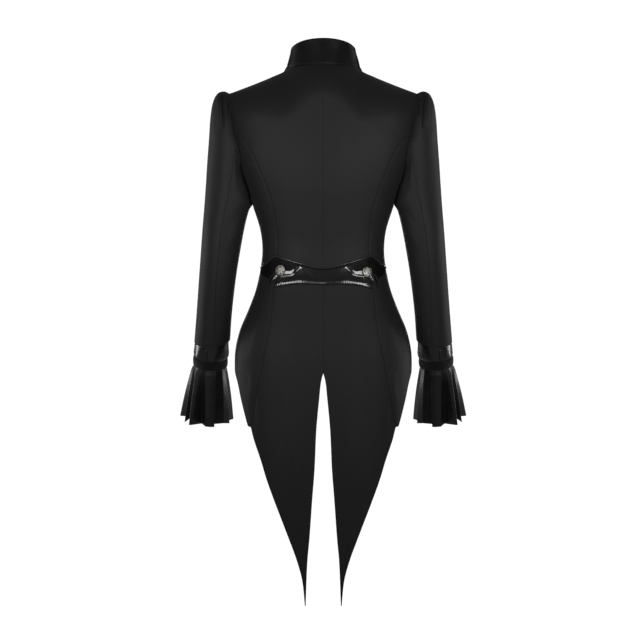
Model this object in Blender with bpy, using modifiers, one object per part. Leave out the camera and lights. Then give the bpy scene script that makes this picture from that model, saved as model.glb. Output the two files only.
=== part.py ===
"""A woman's black tailcoat, filled out as it is when worn, with open neck, cuffs and hem.

The tables below are in millimetres. The wearer faces -Y, the wearer's left is +X and up is +Z. The
origin lies between the shoulders, level with the sides of the neck, where the wearer holds the coat up.
"""

import bpy
import math
from collections import namedtuple
from mathutils import Vector

MM = 0.001
WELD = 0.00001
SEARCH_LIFT = 30
# Small steps either side of a place, from which the way out of the surface is worked out.
ANGLE_STEP = 0.5
HEIGHT_STEP = 1.5

# ---------------------------------------------------------------- walls and gaps
CLOTH = 1.5
COLLAR_WALL = 2.2
YOKE_WALL = 1.5
BELT_WALL = 3.0
CUFF_WALL = 1.5
FRILL_WALL = 1.3
SEAM_GAP = 0.3
REST_GAP = 0.35
ARMHOLE_GAP = 2.0
WAIST_GAP = 1.2

# ---------------------------------------------------------------- the body of the coat
# Outside half width at the side seam, and how far the back and the front stand from it.
Section = namedtuple("Section", "height half_width back front")
BODY = [
    Section(60, 214, 105, 92),
    Section(-60, 214, 105, 92),
    Section(-100, 208, 109, 100),
    Section(-150, 199, 113, 116),
    Section(-200, 186, 112, 127),
    Section(-245, 168, 107, 126),
    Section(-262, 160, 104, 122),
    Section(-292, 151.5, 97, 114),
    Section(-344, 135.5, 86, 101),
    Section(-387, 131, 80, 95),
    Section(-430, 135.5, 84, 96),
    Section(-473, 145, 94, 101),
    Section(-516, 161, 106, 107),
    Section(-559, 179, 117, 112),
    Section(-602, 189, 125, 114),
    Section(-645, 190.5, 128, 113),
    Section(-760, 190.5, 128, 112),
    Section(-1152, 190.5, 120, 112),
]
# Shoulder line: its height, and how far below it the back and the front take to round over.
Crest = namedtuple("Crest", "across height back_run front_run power")
SHOULDER = [
    Crest(0, 62, 120, 200, 1.0),
    Crest(30, 52, 120, 195, 1.0),
    Crest(60, 24, 118, 175, 0.85),
    Crest(81, 0, 112, 150, 0.7),
    Crest(107, -13, 100, 125, 0.55),
    Crest(148, -30, 80, 100, 0.5),
    Crest(193, -47, 70, 80, 0.5),
    Crest(202, -50, 68, 78, 0.5),
    Crest(215, -56, 65, 75, 0.5),
]
CREST_DEPTH = -3
ROUNDNESS = 0.87
NECK_HALF_WIDTH = 81
NECK_BACK_RISE = 11
NECK_FRONT_DROP = 62
SHOULDER_TIP = 202

# Armhole: how far across it lies behind and in front, from the shoulder down to the underarm.
Armhole = namedtuple("Armhole", "height back front")
ARMHOLE = [
    Armhole(-50, 202, 202),
    Armhole(-92, 198, 194),
    Armhole(-118, 193.5, 187),
    Armhole(-140, 189, 181),
    Armhole(-166, 181.7, 176),
    Armhole(-190, 178, 173.5),
    Armhole(-215, 175, 171.5),
    Armhole(-235, 170.5, 169.5),
    Armhole(-245, 168, 168),
]
ARMHOLE_TOP = -50
ARMHOLE_BOTTOM = -245
# Turns where the back princess seam, the front princess seam and the sleeve seams meet the armhole.
UPPER_TURNS = [0.0, 0.055, 0.11, 0.165, 0.22]
LOWER_TURNS = [0.22, 0.30, 0.37, 0.435, 0.5]

Seam = namedtuple("Seam", "height across")
BACK_PRINCESS = [
    Seam(-153, 170),
    Seam(-185, 150.5),
    Seam(-213, 137.6),
    Seam(-243, 125),
    Seam(-271, 116),
    Seam(-314, 105),
    Seam(-350, 101),
    Seam(-387, 99.5),
    Seam(-401, 101.5),
]
FRONT_PRINCESS = [
    Seam(-150, 167),
    Seam(-180, 147),
    Seam(-215, 126),
    Seam(-245, 111),
    Seam(-290, 95),
    Seam(-344, 84),
    Seam(-391, 78),
    Seam(-430, 79),
    Seam(-465, 84),
]

# ---------------------------------------------------------------- the waist
# Seam line along the top of the yoke, from the centre back over the point to the side seam.
Line = namedtuple("Line", "across height")
YOKE_TOP = [
    Line(0, -426.5),
    Line(18, -425.5),
    Line(38, -420),
    Line(60, -414),
    Line(84, -406.5),
    Line(95, -402.5),
    Line(101.5, -401),
    Line(110, -406),
    Line(124.7, -419),
    Line(135, -427),
]
YOKE_BOTTOM = [
    Line(0, -456),
    Line(60, -456),
    Line(100, -455),
    Line(112, -452),
    Line(124, -445),
    Line(136, -437),
]
YOKE_POINT = 101.5
YOKE_ROWS = 3
Waist = namedtuple("Waist", "angle height")
FRONT_WAIST = [
    Waist(90, -437),
    Waist(105, -446),
    Waist(120, -454),
    Waist(147, -465),
    Waist(160, -470),
    Waist(181, -476),
    Waist(190, -476),
]
PIPING_RADIUS = 1.25
PIPING_END_GAP = 0.5
PIPING_BACK_STEPS = 9
PIPING_SIDE_STEPS = 5
LAP_WIDTH = 12
LAP_START_ANGLE = 158
LAP_END_ANGLE = 171
FRONT_GAP = 1.3

# ---------------------------------------------------------------- the tails
VENT_TOP = -652
ABOVE_VENT_STEPS = 4
VENT_STEPS = 11
# The seam and the hem together have as many steps as the centre edge.
TAIL_SEAM_STEPS = 7
TAIL_HEM_STEPS = 8
CUTAWAY_FOOT_RISE = 2.0
VENT = [
    Seam(VENT_TOP, 0),
    Seam(-666, 4),
    Seam(-709, 9),
    Seam(-774, 15),
    Seam(-860, 19),
    Seam(-924, 24),
    Seam(-1010, 30),
    Seam(-1053, 34),
    Seam(-1139, 37.6),
    Seam(-1152, 38),
]
TAIL_SEAM = [
    Seam(-455, 107),
    Seam(-473, 109.6),
    Seam(-542, 115),
    Seam(-580, 122.5),
    Seam(-623, 131),
    Seam(-677, 141),
    Seam(-731, 150.5),
    Seam(-768, 157),
]
TAIL_HEM = [
    Seam(-768, 157),
    Seam(-795, 150),
    Seam(-838, 135.5),
    Seam(-881, 122.5),
    Seam(-924, 107),
    Seam(-967, 90.5),
    Seam(-1010, 74),
    Seam(-1053, 58),
    Seam(-1096, 46),
    Seam(-1139, 41),
    Seam(-1152, 40),
]
# Cutaway edge, from the front waist round the hip.
Cutaway = namedtuple("Cutaway", "height angle")
CUTAWAY = [
    Cutaway(-465, 147),
    Cutaway(-500, 133),
    Cutaway(-550, 117),
    Cutaway(-600, 103),
    Cutaway(-645, 88),
    Cutaway(-666, 77),
    Cutaway(-709, 67),
    Cutaway(-752, 59),
    Cutaway(-768, 56),
]

# ---------------------------------------------------------------- the sleeves and cuffs
# Rings from the armhole to the wrist: the inner and outer edge seen from behind, half the depth,
# the centre's place front to back, and how far the ring tips down at the back.
Ring = namedtuple("Ring", "station inner inner_height outer outer_height reach depth tilt")
SLEEVE = [
    Ring(0, 168, -245, 202, -50, 56, -4, 0),
    Ring(1, 170, -248, 216, -45.5, 60, -4, 0),
    Ring(2, 168.5, -251, 229, -52, 62, -4, 0),
    Ring(3, 166, -256, 238, -72, 62, -4, 0),
    Ring(4, 163.3, -262, 243, -105, 62, -4, 0),
    Ring(5, 160, -270, 246, -150, 61, -3, 0),
    Ring(6, 156.8, -279, 249.5, -197, 60, -2, 0),
    Ring(7, 153.8, -290, 252.5, -245, 58, 0, 0),
    Ring(8, 159.8, -303, 256, -295, 56, 2, 0),
    Ring(9, 170, -344, 260, -344, 53, 3, 3),
    Ring(10, 185, -430, 266, -430, 49, -6, 9),
    Ring(11, 195.5, -516, 272, -516, 46, -26, 14),
    Ring(12, 200, -580, 277.5, -586, 44, -46, 16),
]
SLEEVE_STATIONS = [0, 0.5, 1.1, 1.9, 3, 4.6, 7, 8, 9, 10, 11, 12]
ARMHOLE_FADE = 3.5
SleeveSeam = namedtuple("SleeveSeam", "station turn")
BACK_ARM_SEAM = [
    SleeveSeam(0, 0.30),
    SleeveSeam(3, 0.285),
    SleeveSeam(5, 0.272),
    SleeveSeam(8, 0.24),
    SleeveSeam(10, 0.237),
    SleeveSeam(11, 0.255),
    SleeveSeam(12, 0.273),
]
ARM_SEAM_TURN = 0.30
# Small pleats that take in the fullness of the sleeve head: the valley of each, and its depth.
Pleat = namedtuple("Pleat", "turn depth")
HEAD_PLEATS = [
    Pleat(0.055, 2.2),
    Pleat(0.165, 1.8),
    Pleat(-0.055, 2.2),
    Pleat(-0.165, 1.8),
]
PLEAT_START = 0.3
PLEAT_END = 4.2
PLEAT_REACH = 0.02
CUFF_BAND = [
    Ring(0, 203, -571, 273.4, -575, 41.2, -43, 16),
    Ring(1, 202.8, -591, 275.2, -592, 40.8, -48.5, 16),
    Ring(2, 202.2, -601, 278.4, -602, 41.5, -52, 16.5),
    Ring(3, 203.4, -613, 278.6, -612, 41.3, -55.3, 17),
    Ring(4, 207.9, -619.5, 276.1, -618.5, 40, -57.2, 17),
    Ring(5, 211.5, -625, 271.5, -624, 37.2, -58.8, 17),
    Ring(6, 212.5, -640, 272.1, -640, 37.1, -63, 17),
]
CUFF_RIBBON = [
    Ring(0, 205.5, -619, 279.4, -616, 43, -57, 17),
    Ring(1, 206.0, -635, 279.2, -633, 43, -61.3, 17),
]
# The frill is sewn in under the ribbon, springs out below it and flares to its hem.
FRILL_SEAM = Ring(0, 208.9, -627, 276.2, -626, 40.2, -59, 17)
FRILL_NECK = Ring(1, 208.6, -637, 276.7, -635.5, 40.5, -61.8, 17)
FRILL_TOP = Ring(2, 206.3, -643, 284, -641.5, 44.6, -63.6, 17)
FRILL_HEM = Ring(3, 192.4, -749, 308.5, -741, 62, -99, 20)
# Fold lines of the pleats: degrees round the cuff from its outer side over the back, at the top and
# at the hem, and how far each lies inside the frill's outline as a share of its radius.
Fold = namedtuple("Fold", "top hem top_inset hem_inset")
FRILL_FOLDS = [
    Fold(2, 2, 0.00, 0.00),
    Fold(13, 15, 0.06, 0.24),
    Fold(24, 33, 0.00, 0.00),
    Fold(31, 40, 0.06, 0.26),
    Fold(40, 47, 0.00, 0.00),
    Fold(66, 66, 0.05, 0.48),
    Fold(79, 87, 0.00, 0.02),
    Fold(96, 98, 0.00, 0.00),
    Fold(112, 107, 0.00, 0.00),
    Fold(116, 110, 0.06, 0.10),
    Fold(138, 130, 0.02, 0.03),
    Fold(160, 149, 0.00, 0.00),
    Fold(165, 156, 0.06, 0.22),
    Fold(180, 178, 0.00, 0.00),
    Fold(187, 188, 0.06, 0.24),
    Fold(208, 208, 0.00, 0.00),
    Fold(213, 216, 0.06, 0.22),
    Fold(236, 236, 0.00, 0.01),
    Fold(242, 246, 0.06, 0.26),
    Fold(264, 264, 0.00, 0.00),
    Fold(270, 272, 0.06, 0.22),
    Fold(292, 292, 0.00, 0.01),
    Fold(298, 302, 0.06, 0.26),
    Fold(318, 320, 0.00, 0.00),
    Fold(323, 328, 0.06, 0.22),
    Fold(344, 344, 0.00, 0.00),
    Fold(350, 352, 0.06, 0.22),
]
TAB_ANGLES = [48, 57, 66, 75]
TAB_STATIONS = [1.15, 2.0, 2.9]
TAB_WALL = 1.5
TAB_LIFT = 0.9
CUFF_SIDES = 18

# ---------------------------------------------------------------- collar
COLLAR_RIM_HALF_WIDTH = 69
COLLAR_RIM_BACK = 58
COLLAR_RIM_FRONT = 70
COLLAR_RIM_SIDE = 43
COLLAR_RIM_RISE = 26
COLLAR_RIM_DROP = 45
COLLAR_FRONT_ANGLE = 178.2
COLLAR_LAP_START = 67.5
COLLAR_LAP_END = 112.5
COLLAR_FRONT_CLEAR = 4.2
COLLAR_ROWS = 3

# ---------------------------------------------------------------- half belt and buttons
BeltEdge = namedtuple("BeltEdge", "across top bottom")
HALF_BELT = [
    BeltEdge(-117, -453, -462),
    BeltEdge(-113, -446, -471),
    BeltEdge(-105, -443, -472.5),
    BeltEdge(-96, -441.5, -470),
    BeltEdge(-88, -438.5, -468),
    BeltEdge(-80, -434, -466.5),
    BeltEdge(-71, -432, -464.5),
    BeltEdge(-62, -428.5, -463.5),
    BeltEdge(-55, -422.5, -463.2),
    BeltEdge(-46, -422, -463),
    BeltEdge(-34, -425.5, -462.8),
    BeltEdge(-18, -429.5, -463),
    BeltEdge(0, -430.5, -463.5),
    BeltEdge(18, -429.5, -463),
    BeltEdge(34, -425, -462.5),
    BeltEdge(45, -421.5, -462),
    BeltEdge(54, -421.5, -462),
    BeltEdge(61, -426.5, -462.3),
    BeltEdge(69, -431.5, -463),
    BeltEdge(76, -433, -464),
    BeltEdge(84, -435, -465.5),
    BeltEdge(92.5, -437, -467),
    BeltEdge(103, -439, -469.5),
    BeltEdge(112, -443.5, -469),
    BeltEdge(116, -450, -461),
]
BELT_ROWS = 3
BELT_BUTTONS = {"left": (90.3, -431.5), "right": (-92.4, -435.5)}
BELT_BUTTON_RADIUS = 10.2
BELT_BUTTON_DOME = 5.0
BELT_BUTTON_SHANK = 5.0
SHANK_RADIUS = 2.4
# The button's profile: angles down its dome, its thickness below the dome, and its sides.
DOME_ANGLES = [25, 50, 72]
BUTTON_RIM = 0.8
BUTTON_BACK_SHARE = 0.9
BUTTON_SIDES = 16
FRONT_BUTTON_RADIUS = 7.5
FRONT_BUTTON_DOME = 3.6
FRONT_BUTTON_SHANK = 1.4
FRONT_BUTTON_HEIGHTS = [-100, -168, -236, -304, -372, -440]

Finish = namedtuple("Finish", "colour roughness metallic")
FINISHES = {
    "suiting": Finish((0.018, 0.018, 0.019), 0.75, 0.0),
    "smooth_leather": Finish((0.008, 0.008, 0.009), 0.35, 0.0),
    "patent_leather": Finish((0.006, 0.006, 0.007), 0.12, 0.0),
    "ribbon": Finish((0.006, 0.006, 0.006), 0.95, 0.0),
    "old_silver": Finish((0.62, 0.59, 0.54), 0.32, 1.0),
}


# ---------------------------------------------------------------- working out the shapes
def smooth(rows, column, at):
    """Value of one column of a table at a place in its first column, on a smooth curve."""
    rows = sorted(rows, key=lambda row: row[0])
    places = [row[0] for row in rows]
    values = [getattr(row, column) for row in rows]
    if at <= places[0]:
        return values[0]
    if at >= places[-1]:
        return values[-1]
    last = len(rows) - 2
    index = max(i for i in range(last + 1) if places[i] <= at)
    slopes = [
        (values[i + 1] - values[i]) / (places[i + 1] - places[i]) for i in range(last + 1)
    ]
    start = slopes[index] if index == 0 else (slopes[index - 1] + slopes[index]) / 2
    end = slopes[index] if index == last else (slopes[index] + slopes[index + 1]) / 2
    length = places[index + 1] - places[index]
    share = (at - places[index]) / length
    square, cube = share**2, share**3
    return (
        values[index] * (2 * cube - 3 * square + 1)
        + values[index + 1] * (3 * square - 2 * cube)
        + length * start * (cube - 2 * square + share)
        + length * end * (cube - square)
    )


def signed_power(value, power):
    return math.copysign(abs(value) ** power, value)


def blend(start, end, share):
    return start + (end - start) * share


def body_skin(angle, height):
    """Inner face of the coat at an angle from the centre back (180 at the front) and a height."""
    turn = math.radians(angle)
    behind = math.cos(turn) >= 0
    half_width = smooth(BODY, "half_width", height)
    sideways = signed_power(math.sin(turn), ROUNDNESS)
    across = abs(half_width * sideways)
    reach = smooth(BODY, "back" if behind else "front", height) - CLOTH
    depth = reach * signed_power(math.cos(turn), ROUNDNESS)
    crest = smooth(SHOULDER, "height", across) - CLOTH
    run = smooth(SHOULDER, "back_run" if behind else "front_run", across)
    drop = min(max((crest - height) / run, 0.0), 1.0)
    closing = math.sin(drop * math.pi / 2) ** smooth(SHOULDER, "power", across)
    return Vector(((half_width - CLOTH) * sideways, blend(CREST_DEPTH, depth, closing), height))


def body(angle, height, lift=0.0):
    """Point on the inner face, moved out along the surface by a lift."""
    point = body_skin(angle, height)
    if not lift:
        return point
    round_step = body_skin(angle + ANGLE_STEP, height) - body_skin(angle - ANGLE_STEP, height)
    down_step = body_skin(angle, height - HEIGHT_STEP) - body_skin(angle, height + HEIGHT_STEP)
    return point + round_step.cross(down_step).normalized() * lift


def angle_at(across, height):
    """Angle from the centre back or front of a point so far across at a height."""
    share = min(abs(across) / smooth(BODY, "half_width", height), 1.0)
    return math.copysign(math.degrees(math.asin(share ** (1 / ROUNDNESS))), across)


def armhole(turn):
    """Angle and height on the armhole: 0 at the shoulder, 0.5 at the underarm and more in front."""
    middle = (ARMHOLE_TOP + ARMHOLE_BOTTOM) / 2
    height = middle + (ARMHOLE_TOP - middle) * math.cos(2 * math.pi * turn)
    front = turn > 0.5
    angle = angle_at(smooth(ARMHOLE, "front" if front else "back", height), height)
    if turn in (0, 1):
        height -= CLOTH
        angle = angle_at(SHOULDER_TIP, height)
    return (180 - angle if front else angle), height


def shares(count, power=1.0):
    return [(step / count) ** power for step in range(count + 1)]


BODICE_SHARES = shares(12, 1.4)
NECK_STEPS = 4
SIDE_STEPS = 4
# Heights at the centres that face the top of the princess seams.
CENTRE_BACK_LEVEL = -105
CENTRE_FRONT_LEVEL = -135
SHOULDER_STEPS = 4
BACK_STEPS = NECK_STEPS + SHOULDER_STEPS


def neckline(turn_degrees):
    """Angle and height on the neckline, 0 at the centre back and 180 at the centre front."""
    across = NECK_HALF_WIDTH * math.sin(math.radians(turn_degrees))
    rise = math.cos(math.radians(turn_degrees))
    height = rise * (NECK_BACK_RISE if rise >= 0 else NECK_FRONT_DROP)
    height = min(height, smooth(SHOULDER, "height", abs(across)) - CLOTH)
    angle = angle_at(across, height)
    return (angle if rise >= 0 else 180 - angle), height


def shoulder_line(front):
    """The shoulder seam, from the neck out to the sleeve."""
    points = []
    for share in shares(SHOULDER_STEPS)[1:]:
        across = blend(NECK_HALF_WIDTH, SHOULDER_TIP, share)
        height = smooth(SHOULDER, "height", across) - CLOTH
        angle = angle_at(across, height)
        points.append((180 - angle if front else angle, height))
    points[-1] = armhole(1 if front else 0)
    return points


def seam_edge(rows, start, end, steps, front=False):
    """A seam given by its height and how far across it lies, as angles and heights."""
    points = []
    for share in steps:
        height = blend(start, end, share)
        angle = angle_at(smooth(rows, "across", height), height)
        points.append((180 - angle if front else angle, height))
    return points


def princess_edge(rows, front):
    """A princess seam, from the armhole down to the waist."""
    turn = UPPER_TURNS[-1]
    top = armhole(1 - turn if front else turn)
    half_width = smooth(BODY, "half_width", top[1])
    angle = 180 - top[0] if front else top[0]
    across = half_width * math.sin(math.radians(angle)) ** ROUNDNESS
    rows = [Seam(top[1], across)] + rows
    return seam_edge(rows, top[1], rows[-1].height, BODICE_SHARES, front)


def line_edge(rows, start, end, steps):
    """A line given by its height at each distance across the back."""
    points = []
    for share in steps:
        across = blend(start, end, share)
        height = smooth(rows, "height", across)
        points.append((angle_at(across, height), height))
    return points


def between(left, right, top, bottom):
    """A grid of angles and heights that fills the space between four edges, row by row."""
    rows, columns = len(left) - 1, len(top) - 1
    down = [(place[1] - left[0][1]) / (left[-1][1] - left[0][1]) for place in left]
    along = [(place[0] - top[0][0]) / (top[-1][0] - top[0][0]) for place in top]
    if sorted(along) != along:
        along = shares(columns)
    grid = []
    for row in range(rows + 1):
        line = []
        for column in range(columns + 1):
            point = []
            for part in (0, 1):
                sides = blend(left[row][part], right[row][part], along[column])
                ends = blend(top[column][part], bottom[column][part], down[row])
                corners = blend(
                    blend(top[0][part], top[-1][part], along[column]),
                    blend(bottom[0][part], bottom[-1][part], along[column]),
                    down[row],
                )
                point.append(sides + ends - corners)
            line.append(tuple(point))
        grid.append(line)
    return grid


# ---------------------------------------------------------------- turning grids into cloth
def shrink_edges(points, gap, ring=False):
    """Draws the free edges of a grid in by half a seam gap, so that neighbours never touch."""
    moved = [list(line) for line in points]
    last_row, last_column = len(points) - 1, len(points[0]) - 1
    for row in range(last_row + 1):
        for column in range(last_column + 1):
            shift = Vector()
            here = points[row][column]
            if row in (0, last_row):
                inward = points[1 if row == 0 else last_row - 1][column]
                shift += (inward - here).normalized() * gap / 2
            if column in (0, last_column) and not ring:
                inward = points[row][1 if column == 0 else last_column - 1]
                shift += (inward - here).normalized() * gap / 2
            moved[row][column] = here + shift
    return moved


def add_cloth(name, points, wall, finish, middle, ring=False, mirror=False, gap=SEAM_GAP):
    """One piece of cloth: a grid of points on its inner face, given an outward wall."""
    points = shrink_edges(points, gap, ring)
    rows, columns = len(points), len(points[0])
    sign = -1 if mirror else 1
    vertices = [Vector((p.x * sign, p.y, p.z)) * MM for line in points for p in line]
    middles = [Vector((m.x * sign, m.y, m.z)) * MM for m in middle]
    faces = []
    outward = 0.0
    for row in range(rows - 1):
        for column in range(columns if ring else columns - 1):
            beside = (column + 1) % columns
            face = (
                row * columns + column,
                (row + 1) * columns + column,
                (row + 1) * columns + beside,
                row * columns + beside,
            )
            faces.append(face)
            a, b, c, d = (vertices[index] for index in face)
            outward += (c - a).cross(d - b).dot((a + c) / 2 - middles[row])
    if outward < 0:
        faces = [face[::-1] for face in faces]
    mesh = bpy.data.meshes.new(name)
    mesh.from_pydata(vertices, [], faces)
    mesh.materials.append(MATERIALS[finish])
    mesh.shade_smooth()
    piece = bpy.data.objects.new(name, mesh)
    COAT.objects.link(piece)
    shell = piece.modifiers.new("wall", "SOLIDIFY")
    shell.thickness = wall * MM
    shell.offset = 1
    return piece


def add_body_panel(name, grid, wall=CLOTH, finish="suiting", mirror=False, lift=None, gap=SEAM_GAP):
    """A panel that lies on the body of the coat."""
    points = [[body(*place, lift(*place) if lift else 0.0) for place in line] for line in grid]
    middle = [Vector((0, 0, sum(p.z for p in line) / len(line))) for line in points]
    return add_cloth(name, points, wall, finish, middle, mirror=mirror, gap=gap)


def ring_row(rows, station):
    return Ring(*(smooth(rows, column, station) for column in Ring._fields))


def ring_centre(ring):
    across = (ring.inner + ring.outer) / 2
    return Vector((across, ring.depth, (ring.inner_height + ring.outer_height) / 2))


def ring_point(ring, turn, wall, scale=1.0):
    """Point on a sleeve or cuff ring: turn 0 on its outer side, 0.25 behind and 0.5 on its inner side."""
    turn = 2 * math.pi * turn
    outward = Vector(
        ((ring.outer - ring.inner) / 2, 0, (ring.outer_height - ring.inner_height) / 2)
    )
    outward *= 1 - wall / outward.length
    tilt = math.radians(ring.tilt)
    backward = Vector((0, math.cos(tilt), -math.sin(tilt))) * (ring.reach - wall)
    step = outward * math.cos(turn) + backward * math.sin(turn)
    return ring_centre(ring) + step * scale


def sleeve_start(turn):
    """Where the sleeve leaves the armhole, just clear of the body's cloth."""
    clear = ARMHOLE_GAP + REST_GAP * max(0.0, -math.cos(2 * math.pi * turn))
    return body(*armhole(turn)) + Vector((clear, 0, 0))


def sleeve(turn, station):
    """Inner face of the sleeve."""
    fade = max(0.0, 1 - station / ARMHOLE_FADE) ** 2
    ring = ring_row(SLEEVE, station)
    point = ring_point(ring, turn, CLOTH)
    if PLEAT_START < station < PLEAT_END:
        strength = (PLEAT_END - station) / (PLEAT_END - PLEAT_START)
        inward = (ring_centre(ring) - point).normalized()
        for pleat in HEAD_PLEATS:
            if abs((turn + 0.5) % 1 - 0.5 - pleat.turn) < PLEAT_REACH:
                point += inward * pleat.depth * strength
    if fade:
        point += (sleeve_start(turn) - ring_point(SLEEVE[0], turn, CLOTH)) * fade
    return point


# ---------------------------------------------------------------- the pieces
def make_bodice():
    """Back, side back, side front and front panels, on each side."""
    neck_turns = [90 * share for share in shares(NECK_STEPS)]
    back_top = [neckline(turn) for turn in neck_turns] + shoulder_line(front=False)
    back_seam = princess_edge(BACK_PRINCESS, front=False)
    back_side = [armhole(turn) for turn in UPPER_TURNS] + back_seam[1:]
    back_bottom = yoke_top()[: BACK_STEPS + 1]
    centre_back = centre_edge(back_top[0], back_bottom[0], CENTRE_BACK_LEVEL)
    back = between(centre_back, back_side, back_top, back_bottom)

    side_top = [armhole(turn) for turn in LOWER_TURNS]
    side_steps = shares(len(side_top) - 1)
    side_bottom = yoke_top()[BACK_STEPS:]
    side_seam = [(90.0, blend(ARMHOLE_BOTTOM, YOKE_TOP[-1].height, s)) for s in BODICE_SHARES]
    side_back = between(back_seam, side_seam, side_top, side_bottom)

    front_seam = princess_edge(FRONT_PRINCESS, front=True)
    front_side_seam = [
        (90.0, blend(ARMHOLE_BOTTOM, FRONT_WAIST[0].height, s)) for s in BODICE_SHARES
    ]
    side_front_top = [armhole(1 - turn) for turn in reversed(LOWER_TURNS)]
    side_front_top[0] = (90.0, ARMHOLE_BOTTOM)
    seam_foot = front_seam[-1]
    side_front_bottom = front_waist_edge(90.0, seam_foot[0], side_steps)
    side_front_bottom[-1] = seam_foot
    side_front = between(front_side_seam, front_seam, side_front_top, side_front_bottom)

    for mirror, hand in ((False, "left"), (True, "right")):
        add_body_panel("back_bodice_" + hand, back, mirror=mirror)
        add_body_panel("side_back_" + hand, side_back, mirror=mirror)
        add_body_panel("side_front_" + hand, side_front, mirror=mirror, gap=FRONT_GAP)
        # The wearer's right front laps over the left one.
        edge_across = LAP_WIDTH if mirror else 0.0
        front = front_grid(front_seam, edge_across)
        lift = lap_lift if mirror else None
        add_body_panel("front_" + hand, front, mirror=mirror, lift=lift, gap=FRONT_GAP)


def waist_line(rows, turning):
    """A line round the back of the waist, from the centre over its turning point to the side seam."""
    points = line_edge(rows, 0, turning, shares(BACK_STEPS))
    points += line_edge(rows, turning, rows[-1].across, shares(SIDE_STEPS))[1:]
    points[-1] = (90.0, rows[-1].height)
    return points


def yoke_top():
    return waist_line(YOKE_TOP, YOKE_POINT)


def yoke_bottom():
    return waist_line(YOKE_BOTTOM, TAIL_SEAM[0].across)


def front_waist_edge(start, end, steps):
    return [
        (blend(start, end, share), smooth(FRONT_WAIST, "height", blend(start, end, share)))
        for share in steps
    ]


def centre_edge(top, bottom, level, across=0.0):
    """The edge at the centre, with rows that match the armhole's and then the princess seam's."""
    turns = UPPER_TURNS
    heights = [blend(top[1], level, turn / turns[-1]) for turn in turns]
    heights += [blend(level, bottom[1], share) for share in BODICE_SHARES[1:]]
    front = top[0] > 90
    edge = [(180 + angle_at(across, z) if front else 0.0, z) for z in heights]
    edge[0], edge[-1] = top, bottom
    return edge


def front_grid(front_seam, edge_across):
    """The front panel, whose centre edge lies so far past the centre front."""
    side = [armhole(1 - turn) for turn in UPPER_TURNS] + front_seam[1:]
    neck = [neckline(90 + 90 * share) for share in shares(NECK_STEPS)]
    neck[0] = (180 - neck[0][0], neck[0][1])
    top = shoulder_line(front=True)[::-1] + neck
    if edge_across:
        top.append((180 + angle_at(edge_across, top[-1][1]), top[-1][1]))
    end = 180 + angle_at(edge_across, FRONT_WAIST[-1].height)
    bottom = front_waist_edge(front_seam[-1][0], end, shares(len(top) - 1))
    bottom[0] = front_seam[-1]
    centre = centre_edge(top[-1], bottom[-1], CENTRE_FRONT_LEVEL, edge_across)
    return between(side, centre, top, bottom)


def lap_lift(angle, height):
    """The lapping front rises over the edge beneath it."""
    share = (angle - LAP_START_ANGLE) / (LAP_END_ANGLE - LAP_START_ANGLE)
    share = min(max(share, 0.0), 1.0)
    return (CLOTH + 2 * REST_GAP) * share * share * (3 - 2 * share)


def make_yoke():
    """The leather yoke between the bodice and the tails, and the piping along its top seam."""
    half_top = yoke_top()
    half_bottom = yoke_bottom()
    grid = []
    for share in shares(YOKE_ROWS):
        half = [
            (blend(a[0], b[0], share), blend(a[1], b[1], share))
            for a, b in zip(half_top, half_bottom)
        ]
        grid.append([(-angle, height) for angle, height in reversed(half[1:])] + half)
    add_body_panel("waist_yoke", grid, YOKE_WALL, "smooth_leather")

    piping = bpy.data.curves.new("waist_piping", "CURVE")
    piping.dimensions = "3D"
    piping.bevel_depth = PIPING_RADIUS * MM
    piping.bevel_resolution = 1
    piping.use_fill_caps = True
    end = YOKE_TOP[-1].across - PIPING_END_GAP
    half = line_edge(YOKE_TOP, 0, YOKE_POINT, shares(PIPING_BACK_STEPS))
    half += line_edge(YOKE_TOP, YOKE_POINT, end, shares(PIPING_SIDE_STEPS))[1:]
    line = [(-angle, height) for angle, height in reversed(half[1:])] + half
    spline = piping.splines.new("POLY")
    spline.points.add(len(line) - 1)
    lift = CLOTH + REST_GAP + PIPING_RADIUS
    for point, place in zip(spline.points, line):
        point.co = (*(body(*place, lift) * MM), 1)
    piping.materials.append(MATERIALS["patent_leather"])
    COAT.objects.link(bpy.data.objects.new("waist_piping", piping))


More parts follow.
